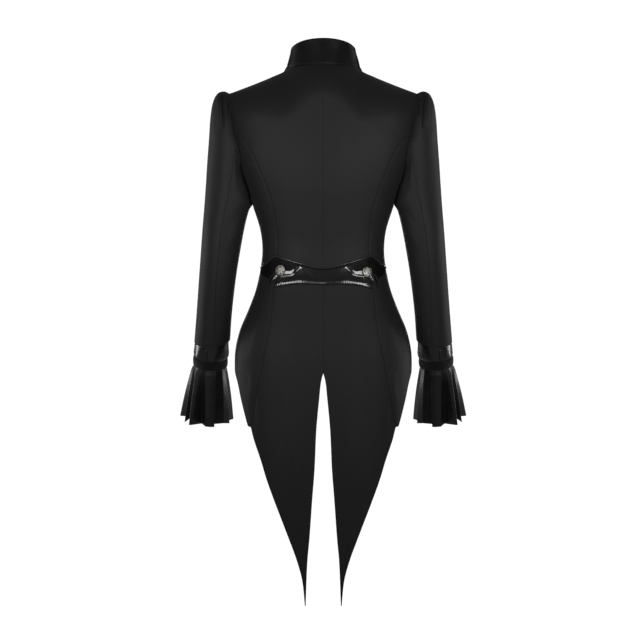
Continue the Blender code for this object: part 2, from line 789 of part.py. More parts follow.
def make_tails():
    """Back tails with the centre vent, and side skirts with the cutaway edge."""
    seam_end = TAIL_SEAM[-1].height
    foot = TAIL_HEM[-1].height
    seam = seam_edge(TAIL_SEAM, TAIL_SEAM[0].height, seam_end, shares(TAIL_SEAM_STEPS))
    hem = seam_edge(TAIL_HEM, seam_end, foot, shares(TAIL_HEM_STEPS))
    waist = [(angle, height - WAIST_GAP) for angle, height in yoke_bottom()]
    seam[0] = waist[BACK_STEPS]
    outer = seam + hem[1:]
    inner = seam_edge(VENT, YOKE_BOTTOM[0].height, VENT_TOP, shares(ABOVE_VENT_STEPS))
    inner += seam_edge(VENT, VENT_TOP, foot, shares(VENT_STEPS))[1:]
    inner[0] = waist[0]
    top = waist[: BACK_STEPS + 1 : 2]
    bottom = [(blend(inner[-1][0], outer[-1][0], s), foot) for s in shares(len(top) - 1)]
    tail_back = between(inner, outer, top, bottom)

    # The side skirt runs from the tail seam round to the cutaway edge.
    front_foot = princess_edge(FRONT_PRINCESS, front=True)[-1]
    side_top = waist[BACK_STEPS:] + front_waist_edge(90.0, front_foot[0], shares(SIDE_STEPS))[1:]
    side_top[-1] = front_foot
    edge = []
    for share in shares(len(seam) - 1):
        height = blend(front_foot[1], seam_end + CUTAWAY_FOOT_RISE, share)
        edge.append((smooth(CUTAWAY, "angle", height), height))
    edge[0] = front_foot
    lower = [
        (blend(seam[-1][0], edge[-1][0], s), blend(seam[-1][1], edge[-1][1], s))
        for s in shares(len(side_top) - 1)
    ]
    tail_side = between(seam, edge, side_top, lower)
    for mirror, hand in ((False, "left"), (True, "right")):
        add_body_panel("tail_back_" + hand, tail_back, mirror=mirror)
        add_body_panel("tail_side_" + hand, tail_side, mirror=mirror)


def make_sleeves():
    """Upper and under sleeves, set into the armholes."""
    back_turns = UPPER_TURNS + LOWER_TURNS[1:]
    seam_index = back_turns.index(ARM_SEAM_TURN)
    upper = back_turns[: seam_index + 1]
    under = back_turns[seam_index:]
    upper_columns = upper[::-1] + [-turn for turn in upper[1:]]
    under_columns = under + [1 - turn for turn in under[-2::-1]]
    for mirror, hand in ((False, "left"), (True, "right")):
        for part, columns in (("upper", upper_columns), ("under", under_columns)):
            points = []
            for station in SLEEVE_STATIONS:
                seam = smooth(BACK_ARM_SEAM, "turn", station)
                line = [sleeve(shifted_turn(turn, seam), station) for turn in columns]
                points.append(line)
            middle = [ring_centre(ring_row(SLEEVE, station)) for station in SLEEVE_STATIONS]
            add_cloth(part + "_sleeve_" + hand, points, CLOTH, "suiting", middle, mirror=mirror)


def shifted_turn(turn, seam):
    """Moves a column of the sleeve with its seam, which wanders round the arm on its way down."""
    size = abs(turn) if turn <= 0.5 else 1 - turn
    if size <= ARM_SEAM_TURN:
        size = size / ARM_SEAM_TURN * seam
    else:
        size = 0.5 - (0.5 - size) / (0.5 - ARM_SEAM_TURN) * (0.5 - seam)
    if turn < 0 or turn > 0.5:
        return 1 - size
    return size


def make_cuffs():
    """Leather band, upright tab, ribbon and pleated frill at each wrist."""
    turns = [side / CUFF_SIDES for side in range(CUFF_SIDES)]
    for mirror, hand in ((False, "left"), (True, "right")):
        for name, rows, wall, finish in (
            ("cuff_band_", CUFF_BAND, CUFF_WALL, "patent_leather"),
            ("cuff_ribbon_", CUFF_RIBBON, CUFF_WALL, "ribbon"),
        ):
            points = [[ring_point(row, turn, wall) for turn in turns] for row in rows]
            middle = [ring_centre(row) for row in rows]
            add_cloth(name + hand, points, wall, finish, middle, ring=True, mirror=mirror)

        tab = []
        for station in TAB_STATIONS:
            row = ring_row(CUFF_BAND, station)
            tab.append([ring_point(row, angle / 360, -TAB_LIFT) for angle in TAB_ANGLES])
        middle = [ring_centre(ring_row(CUFF_BAND, station)) for station in TAB_STATIONS]
        add_cloth("cuff_tab_" + hand, tab, TAB_WALL, "patent_leather", middle, mirror=mirror)

        seam, neck = (
            [ring_point(ring, fold.top / 360, FRILL_WALL) for fold in FRILL_FOLDS]
            for ring in (FRILL_SEAM, FRILL_NECK)
        )
        tops = [
            ring_point(FRILL_TOP, fold.top / 360, FRILL_WALL, 1 - fold.top_inset)
            for fold in FRILL_FOLDS
        ]
        hems = [
            ring_point(FRILL_HEM, fold.hem / 360, FRILL_WALL, 1 - fold.hem_inset)
            for fold in FRILL_FOLDS
        ]
        middle_line = [top.lerp(hem, 0.5) for top, hem in zip(tops, hems)]
        frill = [seam, neck, tops, middle_line, hems]
        middle = [ring_centre(ring) for ring in (FRILL_SEAM, FRILL_NECK, FRILL_TOP)]
        middle += [middle[2].lerp(ring_centre(FRILL_HEM), share) for share in (0.5, 1)]
        add_cloth(
            "cuff_frill_" + hand, frill, FRILL_WALL, "patent_leather", middle, True, mirror
        )


def make_collar():
    """The stand collar, from the neckline up to its rim."""
    points = []
    step = 90 / NECK_STEPS
    turns = [step * number for number in range(1 - 2 * NECK_STEPS, 2 * NECK_STEPS)]
    turns = [-COLLAR_FRONT_ANGLE] + turns + [COLLAR_FRONT_ANGLE]
    base = []
    rim = []
    for turn in turns:
        angle, height = neckline(abs(turn))
        foot = body(angle, height)
        share = min(max((abs(turn) - COLLAR_LAP_START) / (COLLAR_LAP_END - COLLAR_LAP_START), 0), 1)
        clear = blend(CLOTH + REST_GAP, COLLAR_FRONT_CLEAR, share)
        point = foot + Vector((0, 0, clear))
        base.append(Vector((math.copysign(point.x, turn), point.y, point.z)))
        cosine = math.cos(math.radians(turn))
        sine = math.sin(math.radians(turn))
        depth = COLLAR_RIM_BACK if cosine >= 0 else COLLAR_RIM_FRONT
        slope = COLLAR_RIM_RISE if cosine >= 0 else COLLAR_RIM_DROP
        half_width = COLLAR_RIM_HALF_WIDTH - COLLAR_WALL
        rim.append(
            Vector((half_width * sine, depth * cosine, COLLAR_RIM_SIDE + slope * cosine))
        )
    for share in shares(COLLAR_ROWS):
        points.append([low.lerp(high, share) for low, high in zip(base, rim)])
    middle = [Vector((0, 0, sum(p.z for p in line) / len(line))) for line in points]
    add_cloth("collar", points, COLLAR_WALL, "smooth_leather", middle, gap=0.0)


def make_half_belt():
    """The half belt, standing just off the yoke."""
    lift = CLOTH + 2 * REST_GAP
    points = []
    for share in shares(BELT_ROWS):
        line = []
        for edge in HALF_BELT:
            height = blend(edge.top, edge.bottom, share)
            line.append(body(angle_at(edge.across, height), height, lift))
        points.append(line)
    middle = [Vector((0, 0, sum(p.z for p in line) / len(line))) for line in points]
    add_cloth("half_belt", points, BELT_WALL, "patent_leather", middle, gap=0.0)


def outer_face(piece, place):
    """How far the outer face of a piece stands from the coat's inner face at a place."""
    start = body(*place, SEARCH_LIFT)
    inward = (body(*place) - start).normalized()
    solid = piece.evaluated_get(bpy.context.evaluated_depsgraph_get())
    point = solid.ray_cast(start * MM, inward)[1]
    return SEARCH_LIFT - (point / MM - start).length


def add_button(name, place, piece, radius, dome, shank):
    """A domed button on its shank: a turned profile, square to the cloth beneath it."""
    lift = outer_face(piece, place) + REST_GAP
    foot = body(*place, lift)
    normal = (body(*place, lift + 1) - foot).normalized()
    profile = [(0, shank + dome)]
    profile += [
        (radius * math.sin(math.radians(a)), shank + dome * math.cos(math.radians(a)))
        for a in DOME_ANGLES
    ]
    back = shank - BUTTON_RIM
    profile += [(radius, shank), (radius * BUTTON_BACK_SHARE, back), (SHANK_RADIUS, back)]
    profile += [(SHANK_RADIUS, 0), (0, 0)]
    mesh = bpy.data.meshes.new(name)
    vertices = [Vector((x, 0, z)) * MM for x, z in profile]
    mesh.from_pydata(vertices, [(i, i + 1) for i in range(len(vertices) - 1)], [])
    mesh.materials.append(MATERIALS["old_silver"])
    button = bpy.data.objects.new(name, mesh)
    COAT.objects.link(button)
    turned = button.modifiers.new("turned", "SCREW")
    turned.steps = turned.render_steps = BUTTON_SIDES
    turned.use_merge_vertices = True
    turned.merge_threshold = WELD
    button.location = foot * MM
    button.rotation_mode = "QUATERNION"
    button.rotation_quaternion = Vector((0, 0, 1)).rotation_difference(normal)


def make_buttons():
    """Two large buttons over the ends of the half belt, and the front fastening."""
    for hand, (across, height) in BELT_BUTTONS.items():
        place = (angle_at(across, height), height)
        add_button(
            "belt_button_" + hand,
            place,
            COAT.objects["waist_yoke"],
            BELT_BUTTON_RADIUS,
            BELT_BUTTON_DOME,
            BELT_BUTTON_SHANK,
        )
    for number, height in enumerate(FRONT_BUTTON_HEIGHTS, start=1):
        add_button(
            "front_button_" + str(number),
            (180.0, height),
            COAT.objects["front_right"],
            FRONT_BUTTON_RADIUS,
            FRONT_BUTTON_DOME,
            FRONT_BUTTON_SHANK,
        )


def make_material(name, finish):
    material = bpy.data.materials.new(name)
    material.use_nodes = True
    shader = material.node_tree.nodes["Principled BSDF"]
    shader.inputs["Base Color"].default_value = (*finish.colour, 1)
    shader.inputs["Roughness"].default_value = finish.roughness
    shader.inputs["Metallic"].default_value = finish.metallic
    return material


for old in list(bpy.data.objects):
    bpy.data.objects.remove(old, do_unlink=True)
COAT = bpy.data.collections.new("tailcoat")
bpy.context.scene.collection.children.link(COAT)
MATERIALS = {name: make_material(name, finish) for name, finish in FINISHES.items()}
make_bodice()
make_collar()
make_yoke()
make_half_belt()
make_tails()
make_sleeves()
make_cuffs()
make_buttons()
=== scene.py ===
"""Shows a woman's black tailcoat as it is made, filled out with no wearer.

Tables are in millimetres. The wearer faces -Y, the wearer's left is +X and up is +Z, so the camera looks
at the back. Most shapes are worked out on a grid of angles (0 at the centre back) and heights.
"""

import bmesh
import bpy
import math
import numpy as np
from collections import namedtuple
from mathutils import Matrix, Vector


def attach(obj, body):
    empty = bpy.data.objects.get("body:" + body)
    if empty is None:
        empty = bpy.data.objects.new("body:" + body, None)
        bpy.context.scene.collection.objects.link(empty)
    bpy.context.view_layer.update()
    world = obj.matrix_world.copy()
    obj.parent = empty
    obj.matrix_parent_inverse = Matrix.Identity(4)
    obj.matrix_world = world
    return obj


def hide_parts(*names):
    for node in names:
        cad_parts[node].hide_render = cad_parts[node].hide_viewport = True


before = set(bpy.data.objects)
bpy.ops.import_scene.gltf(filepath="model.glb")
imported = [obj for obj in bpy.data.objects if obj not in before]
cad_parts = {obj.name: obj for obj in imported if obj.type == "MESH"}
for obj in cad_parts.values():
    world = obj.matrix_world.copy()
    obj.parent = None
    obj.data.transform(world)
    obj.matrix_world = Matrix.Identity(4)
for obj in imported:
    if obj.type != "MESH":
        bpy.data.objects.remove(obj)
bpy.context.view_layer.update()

# ---------------------------------------------------------------------------------------------------
# Bodice: eight panels of black wool suiting, seamed from the armholes and neck down to the waist.
# The seams are pressed open, so each edge is a soft fold that sinks a little where two panels meet.
MM = 0.001
# The solids' wall, the cloth's own thickness, how far panels lap at their seams, how far a rounded rim
# stands out as a share of the wall, and how far the pressed seams sink.
CLOTH = 1.5
FABRIC = 1.1
SEAM_LAP = 0.5
RIM_SHARE = 0.45
SEAM_SINK = 0.9
ROUNDNESS = 0.87
CREST_DEPTH = -3
ANGLE_STEP = 0.5
HEIGHT_STEP = 1.5
SIDE_FADE = 50
CREASE_FADE = 0.7
NECK_HALF_WIDTH = 81
NECK_BACK_RISE = 11
NECK_FRONT_DROP = 62
SHOULDER_TIP = 202
ARMHOLE_TOP = -51.5
ARMHOLE_BOTTOM = -245
ARM_PRINCESS = 0.22
CENTRE_BACK_LEVEL = -105
CENTRE_FRONT_LEVEL = -135
NECK_COLUMNS = 14
SHOULDER_COLUMNS = 18
SIDE_COLUMNS = 20
ARMHOLE_ROWS = 22
BODICE_ROWS = 64
UPPER_SPREAD = 1.4
LOWER_SPREAD = 1.2
YOKE_POINT = 101.5
NECK_EASING = 60
LAP_WIDTH = 12
LAP_START_ANGLE = 158
LAP_END_ANGLE = 171
LAP_RISE = 2.2
LAP_COLUMNS = 3
SIDES = (("left", False), ("right", True))


def rows_of(kind, *rows):
    return [kind(*row) for row in rows]


Section = namedtuple("Section", "height half_width back front")
BODY = rows_of(
    Section,
    (60, 214, 105, 92), (-60, 214, 105, 92), (-100, 208, 109, 100), (-150, 199, 113, 116),
    (-200, 186, 112, 127), (-245, 168, 107, 126), (-262, 160, 104, 122), (-292, 151.5, 97, 114),
    (-344, 135.5, 86, 101), (-387, 131, 80, 95), (-430, 135.5, 84, 96), (-473, 145, 94, 101),
    (-516, 161, 106, 107), (-559, 179, 117, 112), (-602, 189, 125, 114), (-645, 190.5, 128, 113),
    (-760, 190.5, 128, 112), (-1152, 190.5, 120, 112),
)
Crest = namedtuple("Crest", "across height back_run front_run power")
SHOULDER = rows_of(
    Crest,
    (0, 62, 120, 200, 1.0), (30, 52, 120, 195, 1.0), (60, 24, 118, 175, 0.85), (81, 0, 112, 150, 0.7),
    (107, -13, 100, 125, 0.55), (148, -30, 80, 100, 0.5), (193, -47, 70, 80, 0.5),
    (202, -50, 68, 78, 0.5), (215, -56, 65, 75, 0.5),
)
Armhole = namedtuple("Armhole", "height back front")
ARMHOLE = rows_of(
    Armhole,
    (-50, 202, 202), (-92, 198, 194), (-118, 193.5, 187), (-140, 189, 181), (-166, 181.7, 176),
    (-190, 178, 173.5), (-215, 175, 171.5), (-235, 170.5, 169.5), (-245, 168, 168),
)
Seam = namedtuple("Seam", "height across")
BACK_PRINCESS = rows_of(
    Seam,
    (-153, 170), (-185, 150.5), (-213, 137.6), (-243, 125), (-271, 116), (-314, 105), (-350, 101),
    (-387, 99.5), (-401, 101.5),
)
FRONT_PRINCESS = rows_of(
    Seam,
    (-150, 167), (-180, 147), (-215, 126), (-245, 111), (-290, 95), (-344, 84), (-391, 78), (-430, 79),
    (-465, 84),
)
Line = namedtuple("Line", "across height")
YOKE_TOP = rows_of(
    Line,
    (0, -426.5), (18, -425.5), (38, -420), (60, -414), (84, -406.5), (95, -402.5), (101.5, -401),
    (110, -406), (124.7, -419), (135, -427),
)
Waist = namedtuple("Waist", "angle height")
FRONT_WAIST = rows_of(
    Waist,
    (90, -437), (105, -446), (120, -454), (147, -465), (160, -470), (181, -476), (190, -476),
)
# Soft creases, as seen from behind or from in front: where each starts and ends, how far it sinks
# (less than 0) or stands (more than 0), and how wide it spreads.
Crease = namedtuple("Crease", "across height end_across end_height depth width")
BACK_CREASES = rows_of(
    Crease,
    (158, -150, 118, -300, 1.6, 16), (170, -205, 150, -290, -1.4, 10), (60, -120, 48, -330, -0.9, 26),
    (26, -70, 20, -260, 0.7, 18), (112, -96, 150, -120, -0.9, 14), (70, -352, 18, -372, -0.9, 9),
    (82, -380, 30, -398, 0.7, 8), (128, -330, 92, -352, -0.8, 8), (-150, -145, -112, -290, 1.5, 17),
    (-168, -200, -147, -296, -1.5, 10), (-64, -110, -52, -345, -1.0, 24), (-30, -80, -22, -240, 0.6, 20),
    (-108, -92, -148, -124, -0.9, 14), (-78, -345, -22, -368, -0.8, 9), (-126, -322, -90, -344, -0.8, 8),
)
FRONT_CREASES = rows_of(
    Crease,
    (150, -165, 96, -235, -1.6, 14), (120, -300, 40, -345, -1.0, 10), (110, -345, 50, -372, 0.8, 9),
    (96, -70, 130, -150, -1.0, 16), (-146, -160, -98, -240, -1.5, 14), (-118, -290, -44, -350, -1.0, 10),
    (-104, -350, -40, -380, 0.8, 9), (-92, -66, -128, -146, -1.0, 16),
)


def curve(rows, column):
    """A smooth curve through one column of a table, to be read at places in its first column."""
    rows = sorted(rows, key=lambda row: row[0])
    places = np.array([row[0] for row in rows], float)
    values = np.array([getattr(row, column) for row in rows], float)
    chords = np.diff(values) / np.diff(places)
    slopes = np.concatenate([chords[:1], (chords[:-1] + chords[1:]) / 2, chords[-1:]])

    def read(at):
        at = np.clip(at, places[0], places[-1])
        index = np.clip(np.searchsorted(places, at, side="right") - 1, 0, len(chords) - 1)
        length = places[index + 1] - places[index]
        share = (at - places[index]) / length
        square, cube = share**2, share**3
        return (
            values[index] * (2 * cube - 3 * square + 1)
            + values[index + 1] * (3 * square - 2 * cube)
            + length * slopes[index] * (cube - 2 * square + share)
            + length * slopes[index + 1] * (cube - square)
        )

    return read


half_width_at = curve(BODY, "half_width")
back_reach_at = curve(BODY, "back")
front_reach_at = curve(BODY, "front")
crest_at = curve(SHOULDER, "height")
back_run_at = curve(SHOULDER, "back_run")
front_run_at = curve(SHOULDER, "front_run")
power_at = curve(SHOULDER, "power")


def signed_power(value, power):
    return np.sign(value) * np.abs(value) ** power


def torso_skin(angle, height):
    """Inner face of the coat, at angles from the centre back (180 in front) and heights."""
    turn = np.radians(angle)
    behind = np.cos(turn) >= 0
    half_width = half_width_at(height)
    sideways = signed_power(np.sin(turn), ROUNDNESS)
    across = np.abs(half_width * sideways)
    reach = np.where(behind, back_reach_at(height), front_reach_at(height)) - CLOTH
    depth = reach * signed_power(np.cos(turn), ROUNDNESS)
    run = np.where(behind, back_run_at(across), front_run_at(across))
    drop = np.clip((crest_at(across) - CLOTH - height) / run, 0, 1)
    closing = np.sin(drop * math.pi / 2) ** power_at(across)
    depth = CREST_DEPTH + (depth - CREST_DEPTH) * closing
    return np.stack([(half_width - CLOTH) * sideways, depth, height + 0 * angle], -1)


def unit(vectors):
    return vectors / np.maximum(np.linalg.norm(vectors, axis=-1, keepdims=True), 1e-9)


def torso(places, lift=0.0):
    """Points on the coat's inner face, moved out along the surface by a lift."""
    angle, height = places[..., 0], places[..., 1]
    round_step = torso_skin(angle + ANGLE_STEP, height) - torso_skin(angle - ANGLE_STEP, height)
    down_step = torso_skin(angle, height - HEIGHT_STEP) - torso_skin(angle, height + HEIGHT_STEP)
    outward = unit(np.cross(round_step, down_step))
    return torso_skin(angle, height) + outward * np.asarray(lift)[..., None]


def angle_at(across, height):
    """Angle from the centre back or front of points so far across at these heights."""
    share = np.minimum(np.abs(across) / half_width_at(height), 1)
    return np.sign(across) * np.degrees(np.arcsin(share ** (1 / ROUNDNESS)))


def edge(angle, height):
    return np.stack(np.broadcast_arrays(angle, height), -1).astype(float)


def armhole(turn):
    """Places round the armhole: 0 at the shoulder, 0.5 at the underarm and more in front."""
    turn = np.asarray(turn, float)
    middle = (ARMHOLE_TOP + ARMHOLE_BOTTOM) / 2
    height = middle + (ARMHOLE_TOP - middle) * np.cos(2 * math.pi * turn)
    behind = angle_at(curve(ARMHOLE, "back")(height), height)
    front = 180 - angle_at(curve(ARMHOLE, "front")(height), height)
    return edge(np.where(turn > 0.5, front, behind), height)


def neckline(turn):
    """Places on the neckline, 0 at the centre back and 180 at the centre front."""
    across = NECK_HALF_WIDTH * np.sin(np.radians(turn))
    rise = np.cos(np.radians(turn))
    height = rise * np.where(rise >= 0, NECK_BACK_RISE, NECK_FRONT_DROP)
    height = np.minimum(height, crest_at(np.abs(across)) - CLOTH)
    angle = angle_at(across, height)
    return edge(np.where(rise >= -1e-9, angle, 180 - angle), height)


def shoulder_line(front):
    across = np.linspace(NECK_HALF_WIDTH, SHOULDER_TIP, SHOULDER_COLUMNS + 1)[1:]
    height = crest_at(across) - CLOTH
    angle = angle_at(across, height)
    line = edge(180 - angle if front else angle, height)
    line[-1] = armhole(1.0 if front else 0.0)
    return line


def princess_seam(rows, front):
    """A princess seam, from the armhole down to the waist."""
    top = armhole(1 - ARM_PRINCESS if front else ARM_PRINCESS)
    angle = 180 - top[0] if front else top[0]
    across = half_width_at(top[1]) * math.sin(math.radians(angle)) ** ROUNDNESS
    height = top[1] + (rows[-1].height - top[1]) * np.linspace(0, 1, BODICE_ROWS + 1) ** LOWER_SPREAD
    angle = angle_at(curve([Seam(top[1], across)] + rows, "across")(height), height)
    return edge(180 - angle if front else angle, height)


def waist_line(rows, turning):
    """A line round half the back of the waist, from the centre over its turning point."""
    inner = np.linspace(0, turning, NECK_COLUMNS + SHOULDER_COLUMNS + 1)
    outer = np.linspace(turning, rows[-1].across, SIDE_COLUMNS + 1)[1:]
    across = np.concatenate([inner, outer])
    height = curve(rows, "height")(across)
    line = edge(angle_at(across, height), height)
    line[-1] = (90, rows[-1].height)
    return line


def front_waist(start, end, steps):
    angle = np.linspace(start, end, steps + 1)
    return edge(angle, curve(FRONT_WAIST, "height")(angle))


def centre_edge(top, bottom, level, across=0.0):
    """The edge at the centre, with rows that match the armhole's and then the princess seam's."""
    upper = top[1] + (level - top[1]) * np.linspace(0, 1, ARMHOLE_ROWS + 1) ** UPPER_SPREAD
    lower = level + (bottom[1] - level) * np.linspace(0, 1, BODICE_ROWS + 1)[1:] ** LOWER_SPREAD
    height = np.concatenate([upper, lower])
    line = edge(180 + angle_at(across + 0 * height, height) if top[0] > 90 else 0.0, height)
    line[0], line[-1] = top, bottom
    return line


def fill(left, right, top, bottom):
    """Places that fill the space between four edges, row by row."""
    down = ((left[:, 1] - left[0, 1]) / (left[-1, 1] - left[0, 1]))[:, None, None]
    along = (top[:, 0] - top[0, 0]) / (top[-1, 0] - top[0, 0])
    if np.any(np.diff(along) < 0):
        along = np.linspace(0, 1, len(top))
    along = along[None, :, None]
    sides = left[:, None] * (1 - along) + right[:, None] * along
    ends = top[None] * (1 - down) + bottom[None] * down
    corners = (top[0] * (1 - along) + top[-1] * along) * (1 - down) + (
        bottom[0] * (1 - along) + bottom[-1] * along
    ) * down
    return sides + ends - corners


def bell(distance, width):
    return np.exp(-((distance / width) ** 2))


def creased(points, creases):
    """How far soft creases move each point out, as seen straight from behind or from in front."""
    lift = np.zeros(points.shape[:-1])
    for crease in creases:
        start = np.array([crease.across, crease.height], float)
        run = np.array([crease.end_across, crease.end_height]) - start
        offset = points[..., [0, 2]] - start
        share = np.clip(offset @ run / (run @ run), 0, 1)
        distance = np.linalg.norm(offset - share[..., None] * run, axis=-1)
        lift += crease.depth * (4 * share * (1 - share)) ** CREASE_FADE * bell(distance, crease.width)
    return lift


def both_faces(points, back, front):
    """Creases on the back and on the front, fading out round the sides."""
    behind = np.clip(points[..., 1] / SIDE_FADE, 0, 1)
    ahead = np.clip(-points[..., 1] / SIDE_FADE, 0, 1)
    return creased(points, back) * behind + creased(points, front) * ahead


# The rows added beside an edge: how far in each lies, the most of the way to the next row that it may go,
# and how much of the seam's sink it takes.
Rolled = namedtuple("Rolled", "distance most sink")
ROLLED_ROWS = rows_of(Rolled, (0, 0.25, 1.0), (0.9, 0.5, 0.45), (2.1, 0.75, 0.1))


def close_rows(points, sink, along, inset):
    """Sets both edges of a grid in, and adds two close rows beside each, so that they can roll in."""
    points = np.swapaxes(points, 0, 1) if along else points
    sink = np.swapaxes(sink, 0, 1) if along else sink
    for _ in range(2):
        step = points[1] - points[0]
        length = np.linalg.norm(step, axis=-1, keepdims=True)
        near = [np.minimum(inset + row.distance, length * row.most) for row in ROLLED_ROWS]
        beside = [points[0] + unit(step) * distance for distance in near]
        points = np.concatenate([np.stack(beside), points[1:]])[::-1]
        sinks = [np.maximum(sink[0], row.sink) for row in ROLLED_ROWS]
        sink = np.concatenate([np.stack(sinks), sink[1:]])[::-1]
    return (np.swapaxes(points, 0, 1), np.swapaxes(sink, 0, 1)) if along else (points, sink)


def roll_edges(grid, wall, order=(False, True)):
    """Makes a panel's edges ready for its seams, and says how far each place in it sinks there."""
    sink = np.zeros(grid.shape[:2])
    for along in order:
        grid, sink = close_rows(grid, sink, along, wall * RIM_SHARE - SEAM_LAP)
    return grid, sink


def upright_middles(grid):
    """The middle of each row, on the coat's own upright axis."""
    middles = np.zeros((len(grid), 3))
    middles[:, 2] = grid[..., 2].mean(1)
    return middles


def outward_normals(points, middles, ring):
    """Unit normals of a grid, pointing away from the middle of each row."""
    if ring:
        across = np.roll(points, -1, 1) - np.roll(points, 1, 1)
    else:
        across = np.gradient(points, axis=1)
    normals = unit(np.cross(np.gradient(points, axis=0), across))
    away = points - middles[:, None, :]
    return normals if (normals * away).sum() > 0 else -normals


def put_in_scene(name, data):
    made = bpy.data.objects.new(name, data)
    bpy.context.scene.collection.objects.link(made)
    return made


def shell(name, points, middles, wall, material, ring=False):
    """A closed thin shell: the grid is its outer face, its edges are rounded, and its UVs are metres."""
    rows, columns = points.shape[:2]
    normals = outward_normals(points, middles, ring)
    inner = points - normals * wall
    wide = columns + 1 if ring else columns
    column = np.arange(wide) % columns
    outer_ids = np.arange(rows)[:, None] * columns + column
    inner_ids = outer_ids + rows * columns
    spread = np.linalg.norm(np.diff(points[:, column], axis=1), axis=-1).cumsum(1)
    spread = np.concatenate([np.zeros((rows, 1)), spread], 1)
    spread -= spread[:, [wide // 2]]
    fall = np.linalg.norm(np.diff(points[:, columns // 2], axis=0), axis=-1).cumsum()
    fall = np.concatenate([[0], fall])[:, None] + 0 * spread
    maps = np.stack([spread, fall], -1) * MM

    def quads(ids):
        return np.stack([ids[:-1, :-1], ids[1:, :-1], ids[1:, 1:], ids[:-1, 1:]], -1).reshape(-1, 4)

    corners = np.arange(rows * wide).reshape(rows, wide)
    faces = [quads(outer_ids), quads(inner_ids)[:, ::-1]]
    flat = maps.reshape(-1, 2)
    face_maps = [flat[quads(corners)], flat[quads(corners)[:, ::-1]]]
    if ring:
        borders = [(0, 1, np.arange(wide)), (rows - 1, rows - 2, np.arange(wide))]
        borders = [[((row, c), (beside, c)) for c in line] for row, beside, line in borders]
    else:
        last_row, last = rows - 1, columns - 1
        rim = [((0, c), (1, c)) for c in range(last)]
        rim += [((r, last), (r, last - 1)) for r in range(last_row)]
        rim += [((last_row, c), (last_row - 1, c)) for c in range(last, 0, -1)]
        rim += [((r, 0), (r, 1)) for r in range(last_row, 0, -1)]
        borders = [rim + rim[:1]]
    extra = []
    for rim in borders:
        at = np.array([place for place, _ in rim])
        beside = np.array([place for _, place in rim])
        here = points[at[:, 0], at[:, 1] % columns]
        away = unit(here - points[beside[:, 0], beside[:, 1] % columns])
        middle = here - normals[at[:, 0], at[:, 1] % columns] * wall / 2 + away * wall * RIM_SHARE
        base = 2 * rows * columns + sum(len(line) for line in extra)
        extra.append(middle[:-1])
        mid_ids = base + np.arange(len(rim)) % (len(rim) - 1)
        out_line = outer_ids[at[:, 0], at[:, 1]]
        in_line = inner_ids[at[:, 0], at[:, 1]]
        here_map = maps[at[:, 0], at[:, 1]]
        for low, high in ((out_line, mid_ids), (mid_ids, in_line)):
            faces.append(np.stack([low[:-1], low[1:], high[1:], high[:-1]], -1))
            face_maps.append(np.stack([here_map[:-1], here_map[1:], here_map[1:], here_map[:-1]], 1))
    vertices = np.concatenate([points.reshape(-1, 3), inner.reshape(-1, 3)] + extra) * MM
    mesh = bpy.data.meshes.new(name)
    mesh.from_pydata(vertices.tolist(), [], np.concatenate(faces).tolist())
    layer = mesh.uv_layers.new(name="cloth")
    layer.data.foreach_set("uv", np.concatenate(face_maps).reshape(-1).astype(np.float32))
    turned = bmesh.new()
    turned.from_mesh(mesh)
    bmesh.ops.recalc_face_normals(turned, faces=turned.faces)
    turned.to_mesh(mesh)
    turned.free()
    mesh.shade_smooth()
    mesh.materials.append(material)
    return put_in_scene(name, mesh)


def node_adder(tree, family=""):
    """A short way to add nodes to a tree: what goes into their sockets, and settings by name."""

    def add(kind, feeds=(), **values):
        node = tree.nodes.new(family + kind)
        for key, value in values.items():
            if hasattr(node, key):
                setattr(node, key, value)
            else:
                node.inputs[key.replace("_", " ")].default_value = value
        for socket, source in dict(feeds).items():
            if isinstance(source, bpy.types.NodeSocket):
                tree.links.new(source, node.inputs[socket])
            else:
                node.inputs[socket].default_value = source
        return node

    return add


def node_material(name, shader_values):
    """A new material whose shader has these values, and short ways to add nodes and to feed it."""
    made = bpy.data.materials.new(name)
    made.use_nodes = True
    tree = made.node_tree
    shader = tree.nodes["Principled BSDF"]
    for socket, value in shader_values.items():
        shader.inputs[socket].default_value = value

    def feed(socket, source):
        tree.links.new(source, shader.inputs[socket])

    return made, node_adder(tree, "ShaderNode"), feed


def pattern(add, kind, place, **values):
    """How dark or light a texture is at each place."""
    return add("Tex" + kind, {"Vector": place}, **values).outputs["Fac"]


def between(add, source, low, high, start=0.0, end=1.0):
    """A value that goes from low to high while its source goes from start to end."""
    limits = {"From Min": start, "From Max": end, "To Min": low, "To Max": high}
    return add("MapRange", {"Value": source, **limits}).outputs["Result"]


def ramp(add, source, stops):
    """A colour ramp through pairs of place and grey or colour."""
    node = add("ValToRGB", {"Fac": source})
    elements = node.color_ramp.elements
    while len(elements) < len(stops):
        elements.new(0.5)
    for element, (place, colour) in zip(elements, stops):
        element.position = place
        element.color = (*colour, 1) if hasattr(colour, "__len__") else (colour, colour, colour, 1)
    return node.outputs["Color"]


